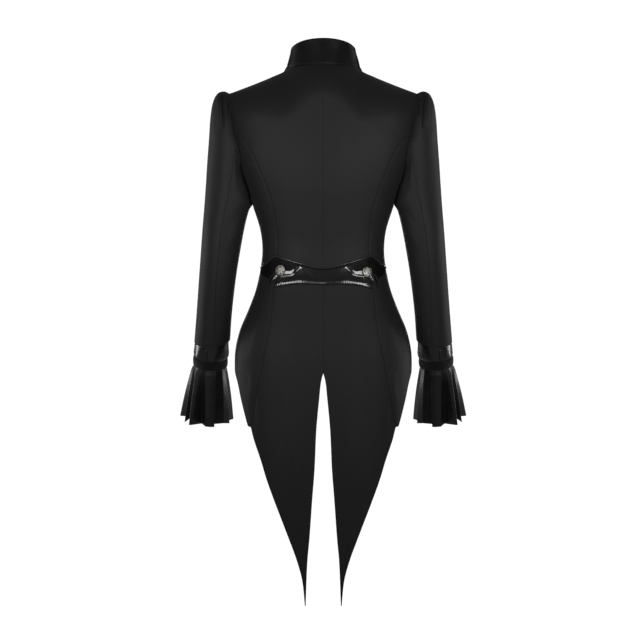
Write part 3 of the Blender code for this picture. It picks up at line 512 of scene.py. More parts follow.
def make_suiting():
    """Black worsted twill: fine diagonal ribs, slubs, slow changes of tone and a low sheen."""
    made, add, feed = node_material(
        "black_suiting",
        {
            "Roughness": 0.62,
            "Specular IOR Level": 0.32,
            "Sheen Weight": 0.12,
            "Sheen Roughness": 0.4,
            "Sheen Tint": (0.75, 0.77, 0.8, 1),
        },
    )
    weave = add("UVMap").outputs["UV"]
    place = add("TexCoord").outputs["Object"]
    turned = add("Mapping", {"Vector": weave}, Rotation=(0, 0, math.radians(58))).outputs["Vector"]
    ribs = pattern(add, "Wave", turned, Scale=330.0, Distortion=0.6, Detail=1.0)
    slubs = pattern(add, "Noise", weave, Scale=900.0, Detail=2.0)
    tone = pattern(add, "Noise", place, Scale=7.0, Detail=3.0)
    fibres = pattern(add, "Noise", place, Scale=160.0, Detail=4.0)
    mixed = add("Math", {0: tone, 1: fibres}, operation="ADD").outputs[0]
    colour = ramp(add, mixed, [(0.35, (0.0105, 0.0105, 0.0112)), (0.75, (0.0165, 0.0165, 0.0172))])
    rib_shade = ramp(add, ribs, [(0.0, 0.78), (1.0, 1.0)])
    shaded = add("MixRGB", {"Fac": 1.0, "Color1": colour, "Color2": rib_shade}, blend_type="MULTIPLY")
    feed("Base Color", shaded.outputs["Color"])
    feed("Roughness", between(add, tone, 0.56, 0.7))
    relief = add("Math", {0: ribs, 1: slubs}, operation="ADD").outputs[0]
    crinkle = pattern(add, "Noise", place, Scale=26.0, Detail=2.0)
    soft = add("Bump", {"Height": crinkle}, Strength=0.25, Distance=0.0015).outputs["Normal"]
    bump = add("Bump", {"Height": relief, "Normal": soft}, Strength=0.35, Distance=0.00012)
    feed("Normal", bump.outputs["Normal"])
    return made


SUITING = make_suiting()


def finish_piece(piece, node):
    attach(piece, "root")
    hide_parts(node)


def lay_panel(name, grid, wall, relief, material):
    """A panel on the coat's own surface: relief says how far a place stands out, with its seams' sink."""
    grid, sink = roll_edges(grid, wall)
    middles = upright_middles(grid)
    lift = relief(grid, sink)[..., None]
    piece = shell(name, grid + outward_normals(grid, middles, False) * lift, middles, wall, material)
    finish_piece(piece, name)
    return piece


def sew_panel(name, places, creases, flat, area, held="draped", rests_on=(), lift=None, mirror=False):
    """One panel of suiting on the coat's own surface, with its creases and sunken seam edges."""
    grid = torso(places, CLOTH + (lift(places) if lift else 0)) * ((-1, 1, 1) if mirror else 1)

    def relief(rolled, sink):
        return creases(rolled) - SEAM_SINK * sink

    piece = lay_panel(name, grid, FABRIC, relief, SUITING)


def lap_lift(places):
    """The lapping front rises over the edge beneath it."""
    share = (places[..., 0] - LAP_START_ANGLE) / (LAP_END_ANGLE - LAP_START_ANGLE)
    share = np.clip(share, 0, 1)
    return LAP_RISE * share * share * (3 - 2 * share)


def bodice_creases(points):
    return both_faces(points, BACK_CREASES, FRONT_CREASES)


def front_places(seam, across):
    """The front panel, whose centre edge lies so far past the centre front.

    Easing spreads its inner places evenly, since the neck's corner would fold the grid.
    """
    side = np.concatenate([armhole(1 - np.linspace(0, ARM_PRINCESS, ARMHOLE_ROWS + 1)), seam[1:]])
    neck = neckline(np.linspace(90, 180, NECK_COLUMNS + 1))
    neck[0, 0] = 180 - neckline(90.0)[0]
    top = np.concatenate([shoulder_line(True)[::-1], neck])
    if across:
        over = np.linspace(0, across, LAP_COLUMNS + 1)[1:]
        height = top[-1, 1] + 0 * over
        top = np.concatenate([top, edge(180 + angle_at(over, height), height)])
    end = 180 + angle_at(across, FRONT_WAIST[-1].height)
    bottom = front_waist(seam[-1, 0], end, len(top) - 1)
    bottom[0] = seam[-1]
    places = fill(side, centre_edge(top[-1], bottom[-1], CENTRE_FRONT_LEVEL, across), top, bottom)
    for _ in range(NECK_EASING):
        beside = places[1:-1, 2:] + places[1:-1, :-2] + places[2:, 1:-1] + places[:-2, 1:-1]
        places[1:-1, 1:-1] = beside / 4
    return places


upper_turns = np.linspace(0, ARM_PRINCESS, ARMHOLE_ROWS + 1)
lower_turns = np.linspace(ARM_PRINCESS, 0.5, SIDE_COLUMNS + 1)
yoke_top = waist_line(YOKE_TOP, YOKE_POINT)
back_columns = NECK_COLUMNS + SHOULDER_COLUMNS
back_top = np.concatenate([neckline(np.linspace(0, 90, NECK_COLUMNS + 1)), shoulder_line(False)])
back_seam = princess_seam(BACK_PRINCESS, False)
back_side = np.concatenate([armhole(upper_turns), back_seam[1:]])
back_bottom = yoke_top[: back_columns + 1]
centre_back = centre_edge(back_top[0], back_bottom[0], CENTRE_BACK_LEVEL)
back_places = fill(centre_back, back_side, back_top, back_bottom)
side_fall = np.linspace(0, 1, BODICE_ROWS + 1) ** LOWER_SPREAD
side_seam = edge(90.0, ARMHOLE_BOTTOM + (YOKE_TOP[-1].height - ARMHOLE_BOTTOM) * side_fall)
side_back_places = fill(back_seam, side_seam, armhole(lower_turns), yoke_top[back_columns:])
front_seam = princess_seam(FRONT_PRINCESS, True)
front_side_seam = edge(90.0, ARMHOLE_BOTTOM + (FRONT_WAIST[0].height - ARMHOLE_BOTTOM) * side_fall)
side_front_top = armhole(1 - lower_turns[::-1])
side_front_top[0] = (90, ARMHOLE_BOTTOM)
side_front_bottom = front_waist(90, front_seam[-1, 0], SIDE_COLUMNS)
side_front_bottom[-1] = front_seam[-1]
side_front_places = fill(front_side_seam, front_seam, side_front_top, side_front_bottom)
for hand, mirror in SIDES:
    sew_panel("back_bodice_" + hand, back_places, bodice_creases, (0.21, 0.46), 0.071, mirror=mirror)
    sew_panel("side_back_" + hand, side_back_places, bodice_creases, (0.15, 0.31), 0.023, mirror=mirror)
    sew_panel("side_front_" + hand, side_front_places, bodice_creases, (0.17, 0.36), 0.038, mirror=mirror)
    front = front_places(front_seam, LAP_WIDTH if mirror else 0)
    lift = lap_lift if mirror else None
    sew_panel("front_" + hand, front, bodice_creases, (0.22, 0.5), 0.07, lift=lift, mirror=mirror)

# ---------------------------------------------------------------------------------------------------
# Collar: a stand collar of smooth black faux leather over stiffening, seamed to the neckline and folded
# over a rounded rim, with a row of stitches near its rim and another near its foot.
COLLAR_WALL = 2.2
# The rim's half width and its reach behind and in front, then its height at the sides, how far it rises
# behind and how far it falls in front.
COLLAR_RIM = (69, 58, 70)
COLLAR_RIM_HEIGHT = (41.6, 26.6, 44)
COLLAR_FRONT_ANGLE = 178.2
COLLAR_SEAT = 0.3
COLLAR_FRONT_SEAT = 1.3
COLLAR_CORNER_SINK = 4.5
COLLAR_OUTSET = 1.4
COLLAR_HOLLOW = 1.2
COLLAR_FULLNESS = 1.7
COLLAR_DENT = 0.5
# How far the collar rolls out at its rim and in at its foot, and over what share of its height.
RIM_ROLL = (0.9, 0.09)
FOOT_ROLL = (0.7, 0.05)
COLLAR_ROWS = 26
COLLAR_COLUMNS = 150


def make_leather(name, colour, shine, grain, crinkle, coat, level, coat_shine=0.06):
    """Faux leather: fine pebble grain, soft crinkles and duller wear, under a clear top coat."""
    made, add, feed = node_material(
        name,
        {
            "Base Color": (*colour, 1),
            "Roughness": shine,
            "Specular IOR Level": level,
            "Coat Weight": coat,
            "Coat Roughness": coat_shine,
        },
    )
    place = add("TexCoord").outputs["Object"]
    pebbles = add("TexVoronoi", {"Vector": place}, Scale=900.0).outputs["Distance"]
    waves = pattern(add, "Noise", place, Scale=42.0, Detail=4.0)
    wear = pattern(add, "Noise", place, Scale=14.0, Detail=5.0)
    dark, light = tuple(c * 0.75 for c in colour), tuple(c * 1.35 for c in colour)
    feed("Base Color", ramp(add, wear, [(0.3, dark), (0.7, light)]))
    feed("Roughness", between(add, wear, shine * 0.8, shine * 1.3, 0.3, 0.7))
    soft = add("Bump", {"Height": waves}, Strength=crinkle, Distance=0.002).outputs["Normal"]
    fine = add("Bump", {"Height": pebbles, "Normal": soft}, Strength=grain, Distance=0.00015)
    feed("Normal", fine.outputs["Normal"])
    return made


SMOOTH_LEATHER = make_leather("smooth_leather", (0.0042, 0.004, 0.0037), 0.5, 0.25, 0.1, 0.0, 0.13)
PATENT_LEATHER = make_leather("patent_leather", (0.0055, 0.0055, 0.0055), 0.22, 0.12, 0.45, 1.0, 0.6, 0.09)
SOFT_PATENT = make_leather("soft_patent", (0.0075, 0.0075, 0.0075), 0.32, 0.15, 0.4, 0.5, 0.5, 0.14)
FRILL_PATENT = make_leather("frill_patent", (0.0085, 0.0085, 0.008), 0.42, 0.15, 0.4, 0.22, 0.4, 0.2)
CORD_LEATHER = make_leather("cord_leather", (0.012, 0.012, 0.012), 0.34, 0.1, 0.2, 1.0, 0.8, 0.2)
turns = np.linspace(-COLLAR_FRONT_ANGLE, COLLAR_FRONT_ANGLE, COLLAR_COLUMNS + 1)
half_turns = np.abs(turns)
foot = torso(neckline(half_turns), 0)
foot[:, 0] = np.abs(foot[:, 0]) * np.sign(turns)
# The foot stands a little higher in front, and is let into the corner between neck and shoulder.
front_seat = COLLAR_FRONT_SEAT * np.clip((half_turns - 100) / 40, 0, 1)
foot[:, 2] += COLLAR_SEAT + front_seat - COLLAR_CORNER_SINK * bell(half_turns - 90, 10)
foot[:, :2] += unit(foot[:, :2]) * COLLAR_OUTSET
cosine, sine = np.cos(np.radians(turns)), np.sin(np.radians(turns))
behind = cosine >= 0
rim = np.stack(
    [
        COLLAR_RIM[0] * sine,
        (np.where(behind, COLLAR_RIM[1], COLLAR_RIM[2]) + COLLAR_WALL) * cosine,
        COLLAR_RIM_HEIGHT[0] + np.where(behind, COLLAR_RIM_HEIGHT[1], COLLAR_RIM_HEIGHT[2]) * cosine,
    ],
    -1,
)
share = np.linspace(0, 1, COLLAR_ROWS + 1)[:, None, None]
stand = foot * (1 - share) + rim * share
rise = share[..., 0]
hollow = np.sin(rise * math.pi) * (COLLAR_FULLNESS * np.abs(sine) - COLLAR_HOLLOW)
roll = RIM_ROLL[0] * bell(1 - rise, RIM_ROLL[1]) - FOOT_ROLL[0] * bell(rise, FOOT_ROLL[1])
dents = COLLAR_DENT * np.sin(np.radians(turns * 3.1 + 20))[None] * np.sin(rise * math.pi) ** 2
middles = upright_middles(stand)
stand += outward_normals(stand, middles, False) * (hollow + roll + dents)[..., None]
collar = shell("collar", stand, middles, COLLAR_WALL, SMOOTH_LEATHER)
finish_piece(collar, "collar")
BACK_BODICE = ["back_bodice_left", "back_bodice_right"]

# ---------------------------------------------------------------------------------------------------
# Waist yoke: smooth faux leather, shaped to a point over each princess seam, seamed between the bodice
# and the tails. A glossy cord is piped into its top seam and a row of stitches runs below it.
YOKE_WALL = 1.5
YOKE_ROWS = 16
YOKE_FOOT_POINT = 107
PIPING_RADIUS = 1.45
PIPING_REST = 0.35
LEATHER_SINK = 0.8
STITCH_PITCH = 3.2
STITCH_LENGTH = 2.2
STITCH_DROP = 4.5
STITCH_LIFT = 0.1
THREAD = 0.32
YOKE_BOTTOM = rows_of(
    Line,
    (0, -456), (60, -456), (100, -455), (112, -452), (124, -445), (136, -437),
)
YOKE_CREASES = rows_of(
    Crease,
    (108, -408, 84, -452, -1.2, 7), (122, -421, 98, -450, 0.9, 6), (-108, -408, -86, -452, -1.2, 7),
    (-122, -421, -98, -450, 0.9, 6), (86, -412, 66, -424, -1.0, 5), (-88, -412, -66, -424, -1.0, 5),
)


def new_tree(name, inputs):
    """An empty geometry node tree with these named inputs."""
    tree = bpy.data.node_groups.new(name, "GeometryNodeTree")
    tree.interface.new_socket("Geometry", in_out="INPUT", socket_type="NodeSocketGeometry")
    for label, kind in inputs.items():
        tree.interface.new_socket(label, in_out="INPUT", socket_type="NodeSocket" + kind)
    tree.interface.new_socket("Geometry", in_out="OUTPUT", socket_type="NodeSocketGeometry")
    add = node_adder(tree)
    start = add("NodeGroupInput")

    def close(source, material):
        """Ends the tree: real meshes, wearing the material."""
        real = add("GeometryNodeRealizeInstances", {"Geometry": source})
        worn = add("GeometryNodeSetMaterial", {"Geometry": real.outputs[0], "Material": material})
        add("NodeGroupOutput", {0: worn.outputs[0]})

    return tree, start.outputs, add, close


def grow(name, tree, lines, values, node=None):
    """Runs a tree on lines of points (millimetres) and keeps the result as a plain mesh."""
    points = np.concatenate(lines) * MM
    pairs = []
    first = 0
    for line in lines:
        pairs += [(first + step, first + step + 1) for step in range(len(line) - 1)]
        first += len(line)
    mesh = bpy.data.meshes.new(name)
    mesh.from_pydata(points.tolist(), pairs, [])
    piece = put_in_scene(name, mesh)
    grown = piece.modifiers.new("grow", "NODES")
    grown.node_group = tree
    names = {item.name: item.identifier for item in tree.interface.items_tree if item.in_out == "INPUT"}
    for label, value in values.items():
        grown[names[label]] = value
    bpy.context.view_layer.update()
    solid = piece.evaluated_get(bpy.context.evaluated_depsgraph_get())
    made = bpy.data.meshes.new_from_object(solid)
    piece.modifiers.clear()
    piece.data = made
    made.name = name
    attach(piece, "root")
    if node:
        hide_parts(node)
    return piece


def make_cord_tree():
    tree, given, add, close = new_tree("piped_cord", {"Radius": "Float", "Leather": "Material"})
    line = add("GeometryNodeMeshToCurve", {"Mesh": given["Geometry"]}).outputs[0]
    ring = add("GeometryNodeCurvePrimitiveCircle", {"Radius": given["Radius"]}, Resolution=12).outputs[0]
    tube = add("GeometryNodeCurveToMesh", {"Curve": line, "Profile Curve": ring}, Fill_Caps=True)
    close(tube.outputs[0], given["Leather"])
    return tree


def make_stitch_tree():
    sizes = {"Pitch": "Float", "Length": "Float", "Thread": "Float", "Yarn": "Material"}
    tree, given, add, close = new_tree("stitch_row", sizes)
    line = add("GeometryNodeMeshToCurve", {"Mesh": given["Geometry"]}).outputs[0]
    spaced = {"Curve": line, "Length": given["Pitch"]}
    holes = add("GeometryNodeCurveToPoints", spaced, mode="LENGTH").outputs
    ball = add("GeometryNodeMeshUVSphere", Segments=6, Rings=4, Radius=1.0).outputs["Mesh"]
    thread = given["Thread"]
    size = add("ShaderNodeCombineXYZ", {"X": thread, "Y": thread, "Z": given["Length"]}).outputs[0]
    thick = add("GeometryNodeTransform", {"Geometry": ball, "Scale": size}).outputs[0]
    spots = {"Points": holes["Points"], "Instance": thick, "Rotation": holes["Rotation"]}
    close(add("GeometryNodeInstanceOnPoints", spots).outputs[0], given["Yarn"])
    return tree


def make_yarn():
    made, add, feed = node_material("black_yarn", {"Roughness": 0.45, "Sheen Weight": 0.2})
    twist = pattern(add, "Wave", add("TexCoord").outputs["Object"], Scale=500.0, Distortion=1.0)
    feed("Base Color", ramp(add, twist, [(0.0, (0.006, 0.006, 0.007)), (1.0, (0.02, 0.02, 0.021))]))
    return made


CORD_TREE = make_cord_tree()
STITCH_TREE = make_stitch_tree()
YARN = make_yarn()


def stitch(name, lines):
    """Rows of stitches along lines of points that lie on the leather."""
    sizes = {"Pitch": STITCH_PITCH, "Length": STITCH_LENGTH / 2, "Thread": THREAD}
    values = {label: size * MM for label, size in sizes.items()}
    return grow(name, STITCH_TREE, lines, {**values, "Yarn": YARN})


def both_sides(half):
    """A row of places over both halves of the back, from the right side seam to the left one."""
    return np.concatenate([half[..., :0:-1, :] * (-1, 1), half], axis=-2)


def lay_leather(name, places, lifts, wall, material, slot, **cut):
    """Leather on the coat's surface: lifts say how far its outer face stands from the inner face."""

    def relief(_, sink):
        return -LEATHER_SINK * sink

    piece = lay_panel(name, torso(places, lifts), wall, relief, material)


yoke_bottom = waist_line(YOKE_BOTTOM, YOKE_FOOT_POINT)
fall = np.linspace(0, 1, YOKE_ROWS + 1)[:, None, None]
yoke_places = both_sides(yoke_top[None] * (1 - fall) + yoke_bottom[None] * fall)
yoke_lift = CLOTH + creased(torso(yoke_places), YOKE_CREASES)
lay_leather(
    "waist_yoke", yoke_places, yoke_lift, YOKE_WALL, SMOOTH_LEATHER, "smooth_leather",
    flat=(0.32, 0.075), held="stretched", rests_on=BACK_BODICE, area=0.0125,
)
piping_line = torso(both_sides(yoke_top[:-1]), CLOTH + PIPING_REST + PIPING_RADIUS)
piping_values = {"Radius": PIPING_RADIUS * MM, "Leather": CORD_LEATHER}
grow("waist_piping", CORD_TREE, [piping_line], piping_values, "waist_piping")
below_piping = both_sides(yoke_top[:-2]) - (0, STITCH_DROP)
stitch_height = CLOTH + STITCH_LIFT + creased(torso(below_piping), YOKE_CREASES)
stitch("yoke_stitches", [torso(below_piping, stitch_height)])
stitch("collar_stitches", [stand[-4][2:-2], stand[2][2:-2]])

# ---------------------------------------------------------------------------------------------------
# Half belt: a soft band of patent leather folded over wadding, sewn over the yoke. Its top edge rises on
# each side of the centre and dips towards each button, where it is gathered; both edges are rolled.
BELT_WALL = 2.6
BELT_ROWS = 34
BELT_COLUMNS = 320
BELT_HALF_LENGTH = 116.5
BELT_END = 5
BELT_END_FULLNESS = 0.35
BELT_FOOT = 2.4
PUCKER = 0.2
BeltEdge = namedtuple("BeltEdge", "across top bottom")
HALF_BELT = rows_of(
    BeltEdge,
    (-116.5, -449, -462), (-113, -441, -471), (-106, -435.5, -472), (-94.6, -432, -470),
    (-80, -430.5, -466), (-70, -431.5, -464.5), (-62, -428, -463.5), (-55, -421.5, -463.2),
    (-46, -421, -463), (-32, -424.5, -462.8), (-16, -428, -463), (0, -429, -463.5), (16, -428, -463),
    (30, -424.5, -462.5), (44, -420, -462), (54, -420.5, -462), (62, -426, -462.5), (71, -431, -463.5),
    (80, -430.5, -465), (92.5, -430, -467), (103, -433, -469.5), (111, -440.5, -469), (116, -450, -461),
)
BeltProfile = namedtuple("BeltProfile", "share lift")
BELT_PROFILE = rows_of(
    BeltProfile,
    (0.0, 3.0), (0.03, 4.2), (0.1, 4.5), (0.35, 4.8), (0.55, 5.3), (0.68, 6.6), (0.75, 7.3), (0.79, 7.5),
    (0.83, 7.4), (0.88, 7.05), (0.93, 6.65), (0.965, 5.9), (0.985, 4.7), (1.0, 3.0),
)
# The top edge flares out beside each button, above a drag line, and small gathers fan from the buttons.
BELT_CREASES = rows_of(
    Crease,
    (48, -424, 66, -444, -0.9, 3.6), (60, -443, 100, -446, -1.5, 3.4), (48, -415, 66, -430, 0.9, 6.0),
    (58, -427, 94, -426.5, 1.7, 12), (96, -441, 104, -466, -1.0, 2.6), (101, -440, 112, -462, 1.0, 2.4),
    (106, -440, 116, -456, -0.9, 2.2), (90, -444, 88, -462, 0.7, 3.0), (-48, -424, -66, -444, -0.9, 3.6),
    (-60, -443, -102, -448, -1.5, 3.4), (-48, -415, -66, -430, 0.9, 6.0),
    (-58, -427, -96, -426.5, 1.7, 12), (-98, -444, -106, -468, -1.0, 2.6),
    (-103, -442, -112, -466, 1.1, 2.4), (-108, -441, -116, -460, -0.9, 2.2),
    (-92, -446, -90, -464, 0.7, 3.0), (30, -438, 4, -446, 0.5, 5.0), (-34, -440, -8, -448, 0.5, 5.0),
)
across = np.linspace(HALF_BELT[0].across, HALF_BELT[-1].across, BELT_COLUMNS + 1)
belt_share = np.linspace(0, 1, BELT_ROWS + 1) ** 0.9
top_height = curve(HALF_BELT, "top")(across)
bottom_height = curve(HALF_BELT, "bottom")(across)
belt_height = top_height + (bottom_height - top_height) * belt_share[:, None]
belt_places = edge(angle_at(across + 0 * belt_height, belt_height), belt_height)
near_end = np.clip((BELT_HALF_LENGTH - np.abs(across)) / BELT_END, 0, 1) ** 0.5
belt_fullness = BELT_END_FULLNESS + (1 - BELT_END_FULLNESS) * near_end
belt_lift = BELT_FOOT + (curve(BELT_PROFILE, "lift")(belt_share)[:, None] - BELT_FOOT) * belt_fullness
# Tiny puckers where the band is drawn up along its lower seam, stronger in some places than in others.
pucker = np.sin(across * 1.55 + 2 * np.sin(across * 0.21)) * (0.6 + 0.4 * np.sin(across * 0.09 + 1))
pucker = PUCKER * pucker * bell(belt_share[:, None] - 0.9, 0.09)
belt_lift = belt_lift + creased(torso(belt_places), BELT_CREASES) + pucker
lay_leather(
    "half_belt", belt_places, belt_lift, BELT_WALL, PATENT_LEATHER, "patent_leather",
    flat=(0.26, 0.045), held="gathered", rests_on=["waist_yoke"], area=0.0092,
)

# ---------------------------------------------------------------------------------------------------
# Buttons: domed shank buttons of old silver, two at the ends of the half belt and six down the front.
# Each has a dark dome under a filigree of wire loops and grains, inside a beaded rim.
ButtonSize = namedtuple("ButtonSize", "radius dome shank beads")
BELT_BUTTON = ButtonSize(11.2, 5.0, 5.0, 26)
FRONT_BUTTON = ButtonSize(7.5, 3.6, 1.4, 24)
BELT_BUTTON_PLACES = {"left": (90.3, -431.5), "right": (-92.4, -435.5)}
FRONT_BUTTON_HEIGHTS = [-100, -168, -236, -304, -372, -440]
# The dark dome's width and height as shares of the filigree's.
DOME_WIDTH = 0.95
DOME_HEIGHT = 0.86
DOME_ROWS = 12
SHANK_RADIUS = 2.4
BUTTON_REST = 0.4
BUTTON_STEPS = 48
LOOPS = 7


def make_silver(name, colour, shine, dull):
    """Cast silver with darkened hollows and a soft hand polish."""
    made, add, feed = node_material(name, {"Metallic": 1.0, "Roughness": shine})
    place = add("TexCoord").outputs["Object"]
    stain = pattern(add, "Noise", place, Scale=380.0, Detail=4.0)
    dark = tuple(c * dull for c in colour)
    feed("Base Color", ramp(add, stain, [(0.35, dark), (0.6, colour)]))
    feed("Roughness", between(add, stain, shine * 1.5, shine * 0.7))
    cast = pattern(add, "Noise", place, Scale=1500.0, Detail=2.0)
    feed("Normal", add("Bump", {"Height": cast}, Strength=0.2, Distance=0.0002).outputs["Normal"])
    return made


OLD_SILVER = make_silver("old_silver", (0.98, 0.955, 0.9), 0.36, 0.9)
DARK_SILVER = make_silver("dark_silver", (0.4, 0.375, 0.34), 0.42, 0.5)


def make_filigree_tree():
    """Wire loops round the dome, grains between them and beads at the rim, all as shares of its radius."""
    sizes = {"Radius": "Float", "Dome": "Float", "Beads": "Int", "Loops": "Int", "Silver": "Material"}
    tree, given, add, close = new_tree("filigree", sizes)
    radius, beads, loops = given["Radius"], given["Beads"], given["Loops"]

    def maths(operation, first, second, **values):
        return add("ShaderNodeMath", {0: first, 1: second}, operation=operation, **values).outputs[0]

    def part_of(amount):
        return maths("MULTIPLY", radius, amount)

    def ring_of(count, reach, instance):
        circle = add("GeometryNodeMeshCircle", {"Vertices": count, "Radius": part_of(reach)})
        place = add("GeometryNodeInputPosition").outputs[0]
        turned = add("FunctionNodeAlignEulerToVector", {"Vector": place}, axis="X").outputs[0]
        spots = {"Points": circle.outputs[0], "Instance": instance, "Rotation": turned}
        return add("GeometryNodeInstanceOnPoints", spots).outputs[0]

    def bead(reach):
        return add("GeometryNodeMeshIcoSphere", {"Radius": part_of(reach)}, Subdivisions=2).outputs[0]

    def wire(long, wide, thickness):
        circle = add("GeometryNodeCurvePrimitiveCircle", {"Radius": radius}, Resolution=18).outputs[0]
        shaped = add("GeometryNodeTransform", {"Geometry": circle, "Scale": (long, wide, 1)}).outputs[0]
        profile = add("GeometryNodeCurvePrimitiveCircle", {"Radius": part_of(thickness)}, Resolution=6)
        wound = {"Curve": shaped, "Profile Curve": profile.outputs[0]}
        return add("GeometryNodeCurveToMesh", wound).outputs[0]

    joined = add("GeometryNodeJoinGeometry")
    for part in (
        ring_of(beads, 0.94, bead(0.085)),
        ring_of(loops, 0.6, wire(0.23, 0.2, 0.052)),
        ring_of(loops, 0.62, bead(0.1)),
        ring_of(maths("MULTIPLY", loops, 2), 0.84, bead(0.05)),
        ring_of(loops, 0.27, bead(0.075)),
        bead(0.17),
    ):
        tree.links.new(part, joined.inputs[0])
    flat = add("GeometryNodeRealizeInstances", {"Geometry": joined.outputs[0]}).outputs[0]
    place = add("GeometryNodeInputPosition").outputs[0]
    away = add("ShaderNodeVectorMath", {0: place}, operation="LENGTH").outputs["Value"]
    rate = maths("DIVIDE", away, radius)
    left = maths("SUBTRACT", 1, maths("MULTIPLY", rate, rate), use_clamp=True)
    rise = add("ShaderNodeCombineXYZ", {"Z": maths("MULTIPLY", maths("POWER", left, 0.6), given["Dome"])})
    domed = add("GeometryNodeSetPosition", {"Geometry": flat, "Offset": rise.outputs[0]})
    close(domed.outputs[0], given["Silver"])
    return tree


FILIGREE_TREE = make_filigree_tree()


def turned_button(name, radius, dome, shank):
    """The dark dome, its rim and its shank, turned about +Z with its foot at the origin."""
    wide, high = radius * DOME_WIDTH, dome * DOME_HEIGHT
    slope = np.radians(np.linspace(0, 88, DOME_ROWS))
    profile = [(wide * math.sin(a), shank + high * math.cos(a)) for a in slope]
    profile += [(radius * 0.99, shank + 0.2), (radius, shank - 0.3), (radius * 0.93, shank - 0.8)]
    profile += [(SHANK_RADIUS * 1.3, shank - 0.9), (SHANK_RADIUS, shank - 1.2), (SHANK_RADIUS, 0.1), (0, 0)]
    angles = [2 * math.pi * step / BUTTON_STEPS for step in range(BUTTON_STEPS)]
    turned = bmesh.new()
    rings = []
    for x, z in profile:
        spots = [(x * math.cos(a), x * math.sin(a), z) for a in angles] if x > 1e-6 else [(0, 0, z)]
        rings.append([turned.verts.new(Vector(spot) * MM) for spot in spots])
    for low, high in zip(rings[:-1], rings[1:]):
        for step in range(BUTTON_STEPS):
            after = (step + 1) % BUTTON_STEPS
            round_face = ((low, step), (low, after), (high, after), (high, step))
            corners = [ring[at % len(ring)] for ring, at in round_face]
            turned.faces.new(list(dict.fromkeys(corners)))
    bmesh.ops.recalc_face_normals(turned, faces=turned.faces)
    mesh = bpy.data.meshes.new(name)
    turned.to_mesh(mesh)
    turned.free()
    mesh.shade_smooth()
    mesh.materials.append(DARK_SILVER)
    return mesh


def sew_button(node, place, lift, size):
    """One button on its shank, square to the cloth beneath it."""
    radius, dome, shank, beads = size
    spot = np.array(place, float)
    foot = torso(spot, lift)
    normal = Vector(torso(spot, lift + 1.0) - foot)
    turn = Vector((0, 0, 1)).rotation_difference(normal).to_matrix().to_4x4()
    turn.translation = Vector(foot) * MM
    base = put_in_scene(node + "_base", turned_button(node + "_base", radius, dome, shank))
    values = {"Radius": radius * MM, "Dome": dome * MM, "Beads": beads, "Loops": LOOPS}
    values["Silver"] = OLD_SILVER
    filigree = grow(node + "_filigree", FILIGREE_TREE, [np.zeros((2, 3))], values)
    filigree.data.shade_smooth()
    raise_up = Vector((0, 0, shank * MM))
    for vertex in filigree.data.vertices:
        vertex.co += raise_up
    for piece in (base, filigree):
        piece.data.transform(turn)
    finish_piece(base, node)


for hand, (button_across, button_height) in BELT_BUTTON_PLACES.items():
    button_place = (float(angle_at(button_across, button_height)), button_height)
    sew_button("belt_button_" + hand, button_place, CLOTH + BUTTON_REST, BELT_BUTTON)
lap_top = CLOTH + LAP_RISE + BUTTON_REST
for number, height in enumerate(FRONT_BUTTON_HEIGHTS, start=1):
    sew_button("front_button_" + str(number), (180, height), lap_top, FRONT_BUTTON)

# ---------------------------------------------------------------------------------------------------
# Tails: two back tails with an open vent between them, cut to long points, and two side skirts that are
# cut away from the front waist. Suiting again, with a turned hem, hanging from the yoke and the waist.
VENT_TOP = -652
TAIL_SEAM_ROWS = 56
TAIL_HEM_ROWS = 64
ABOVE_VENT_ROWS = 34
CUTAWAY_LIFT = 2
VENT = rows_of(
    Seam,
    (VENT_TOP, 0), (-666, 4), (-709, 9), (-774, 15), (-860, 19), (-924, 24), (-1010, 30), (-1053, 34),
    (-1139, 37.6), (-1152, 38),
)
TAIL_SEAM = rows_of(
    Seam,
    (-455, 107), (-473, 109.6), (-542, 115), (-580, 122.5), (-623, 131), (-677, 141), (-731, 150.5),
    (-768, 157),
)
TAIL_HEM = rows_of(
    Seam,
    (-768, 157), (-795, 150), (-838, 135.5), (-881, 122.5), (-924, 107), (-967, 90.5), (-1010, 74),
    (-1053, 58), (-1096, 46), (-1139, 41), (-1152, 40),
)
Cutaway = namedtuple("Cutaway", "height angle")
CUTAWAY = rows_of(
    Cutaway,
    (-465, 147), (-500, 133), (-550, 117), (-600, 103), (-645, 88), (-666, 77), (-709, 67), (-752, 59),
    (-768, 56),
)
TAIL_CREASES = rows_of(
    Crease,
    (136, -470, 172, -620, -2.6, 9), (60, -478, 70, -660, 1.4, 20), (34, -500, 28, -640, -0.8, 14),
    (150, -690, 148, -780, -1.8, 7), (152, -640, 154, -720, 1.6, 8), (92, -560, 112, -820, -1.2, 16),
    (60, -700, 52, -1000, 1.6, 18), (30, -720, 36, -1080, -1.0, 9), (84, -760, 60, -1040, -1.2, 14),
    (-136, -470, -172, -612, -2.6, 9), (-62, -474, -72, -650, 1.4, 20), (-36, -510, -26, -640, -0.8, 14),
    (-148, -700, -146, -790, -1.8, 7), (-150, -650, -154, -725, 1.6, 8),
    (-90, -540, -114, -810, -1.2, 16), (-58, -690, -50, -990, 1.5, 18), (-28, -730, -36, -1070, -1.0, 9),
    (-82, -770, -62, -1030, -1.2, 14),
)
SKIRT_FRONT_CREASES = rows_of(
    Crease,
    (96, -470, 130, -560, -1.4, 10), (120, -466, 160, -580, 1.2, 10), (-96, -470, -128, -556, -1.4, 10),
    (-118, -468, -158, -576, 1.2, 10),
)


def seam_places(rows, height):
    return edge(angle_at(curve(rows, "across")(height), height), height)


def tail_creases(points):
    return both_faces(points, TAIL_CREASES, SKIRT_FRONT_CREASES)


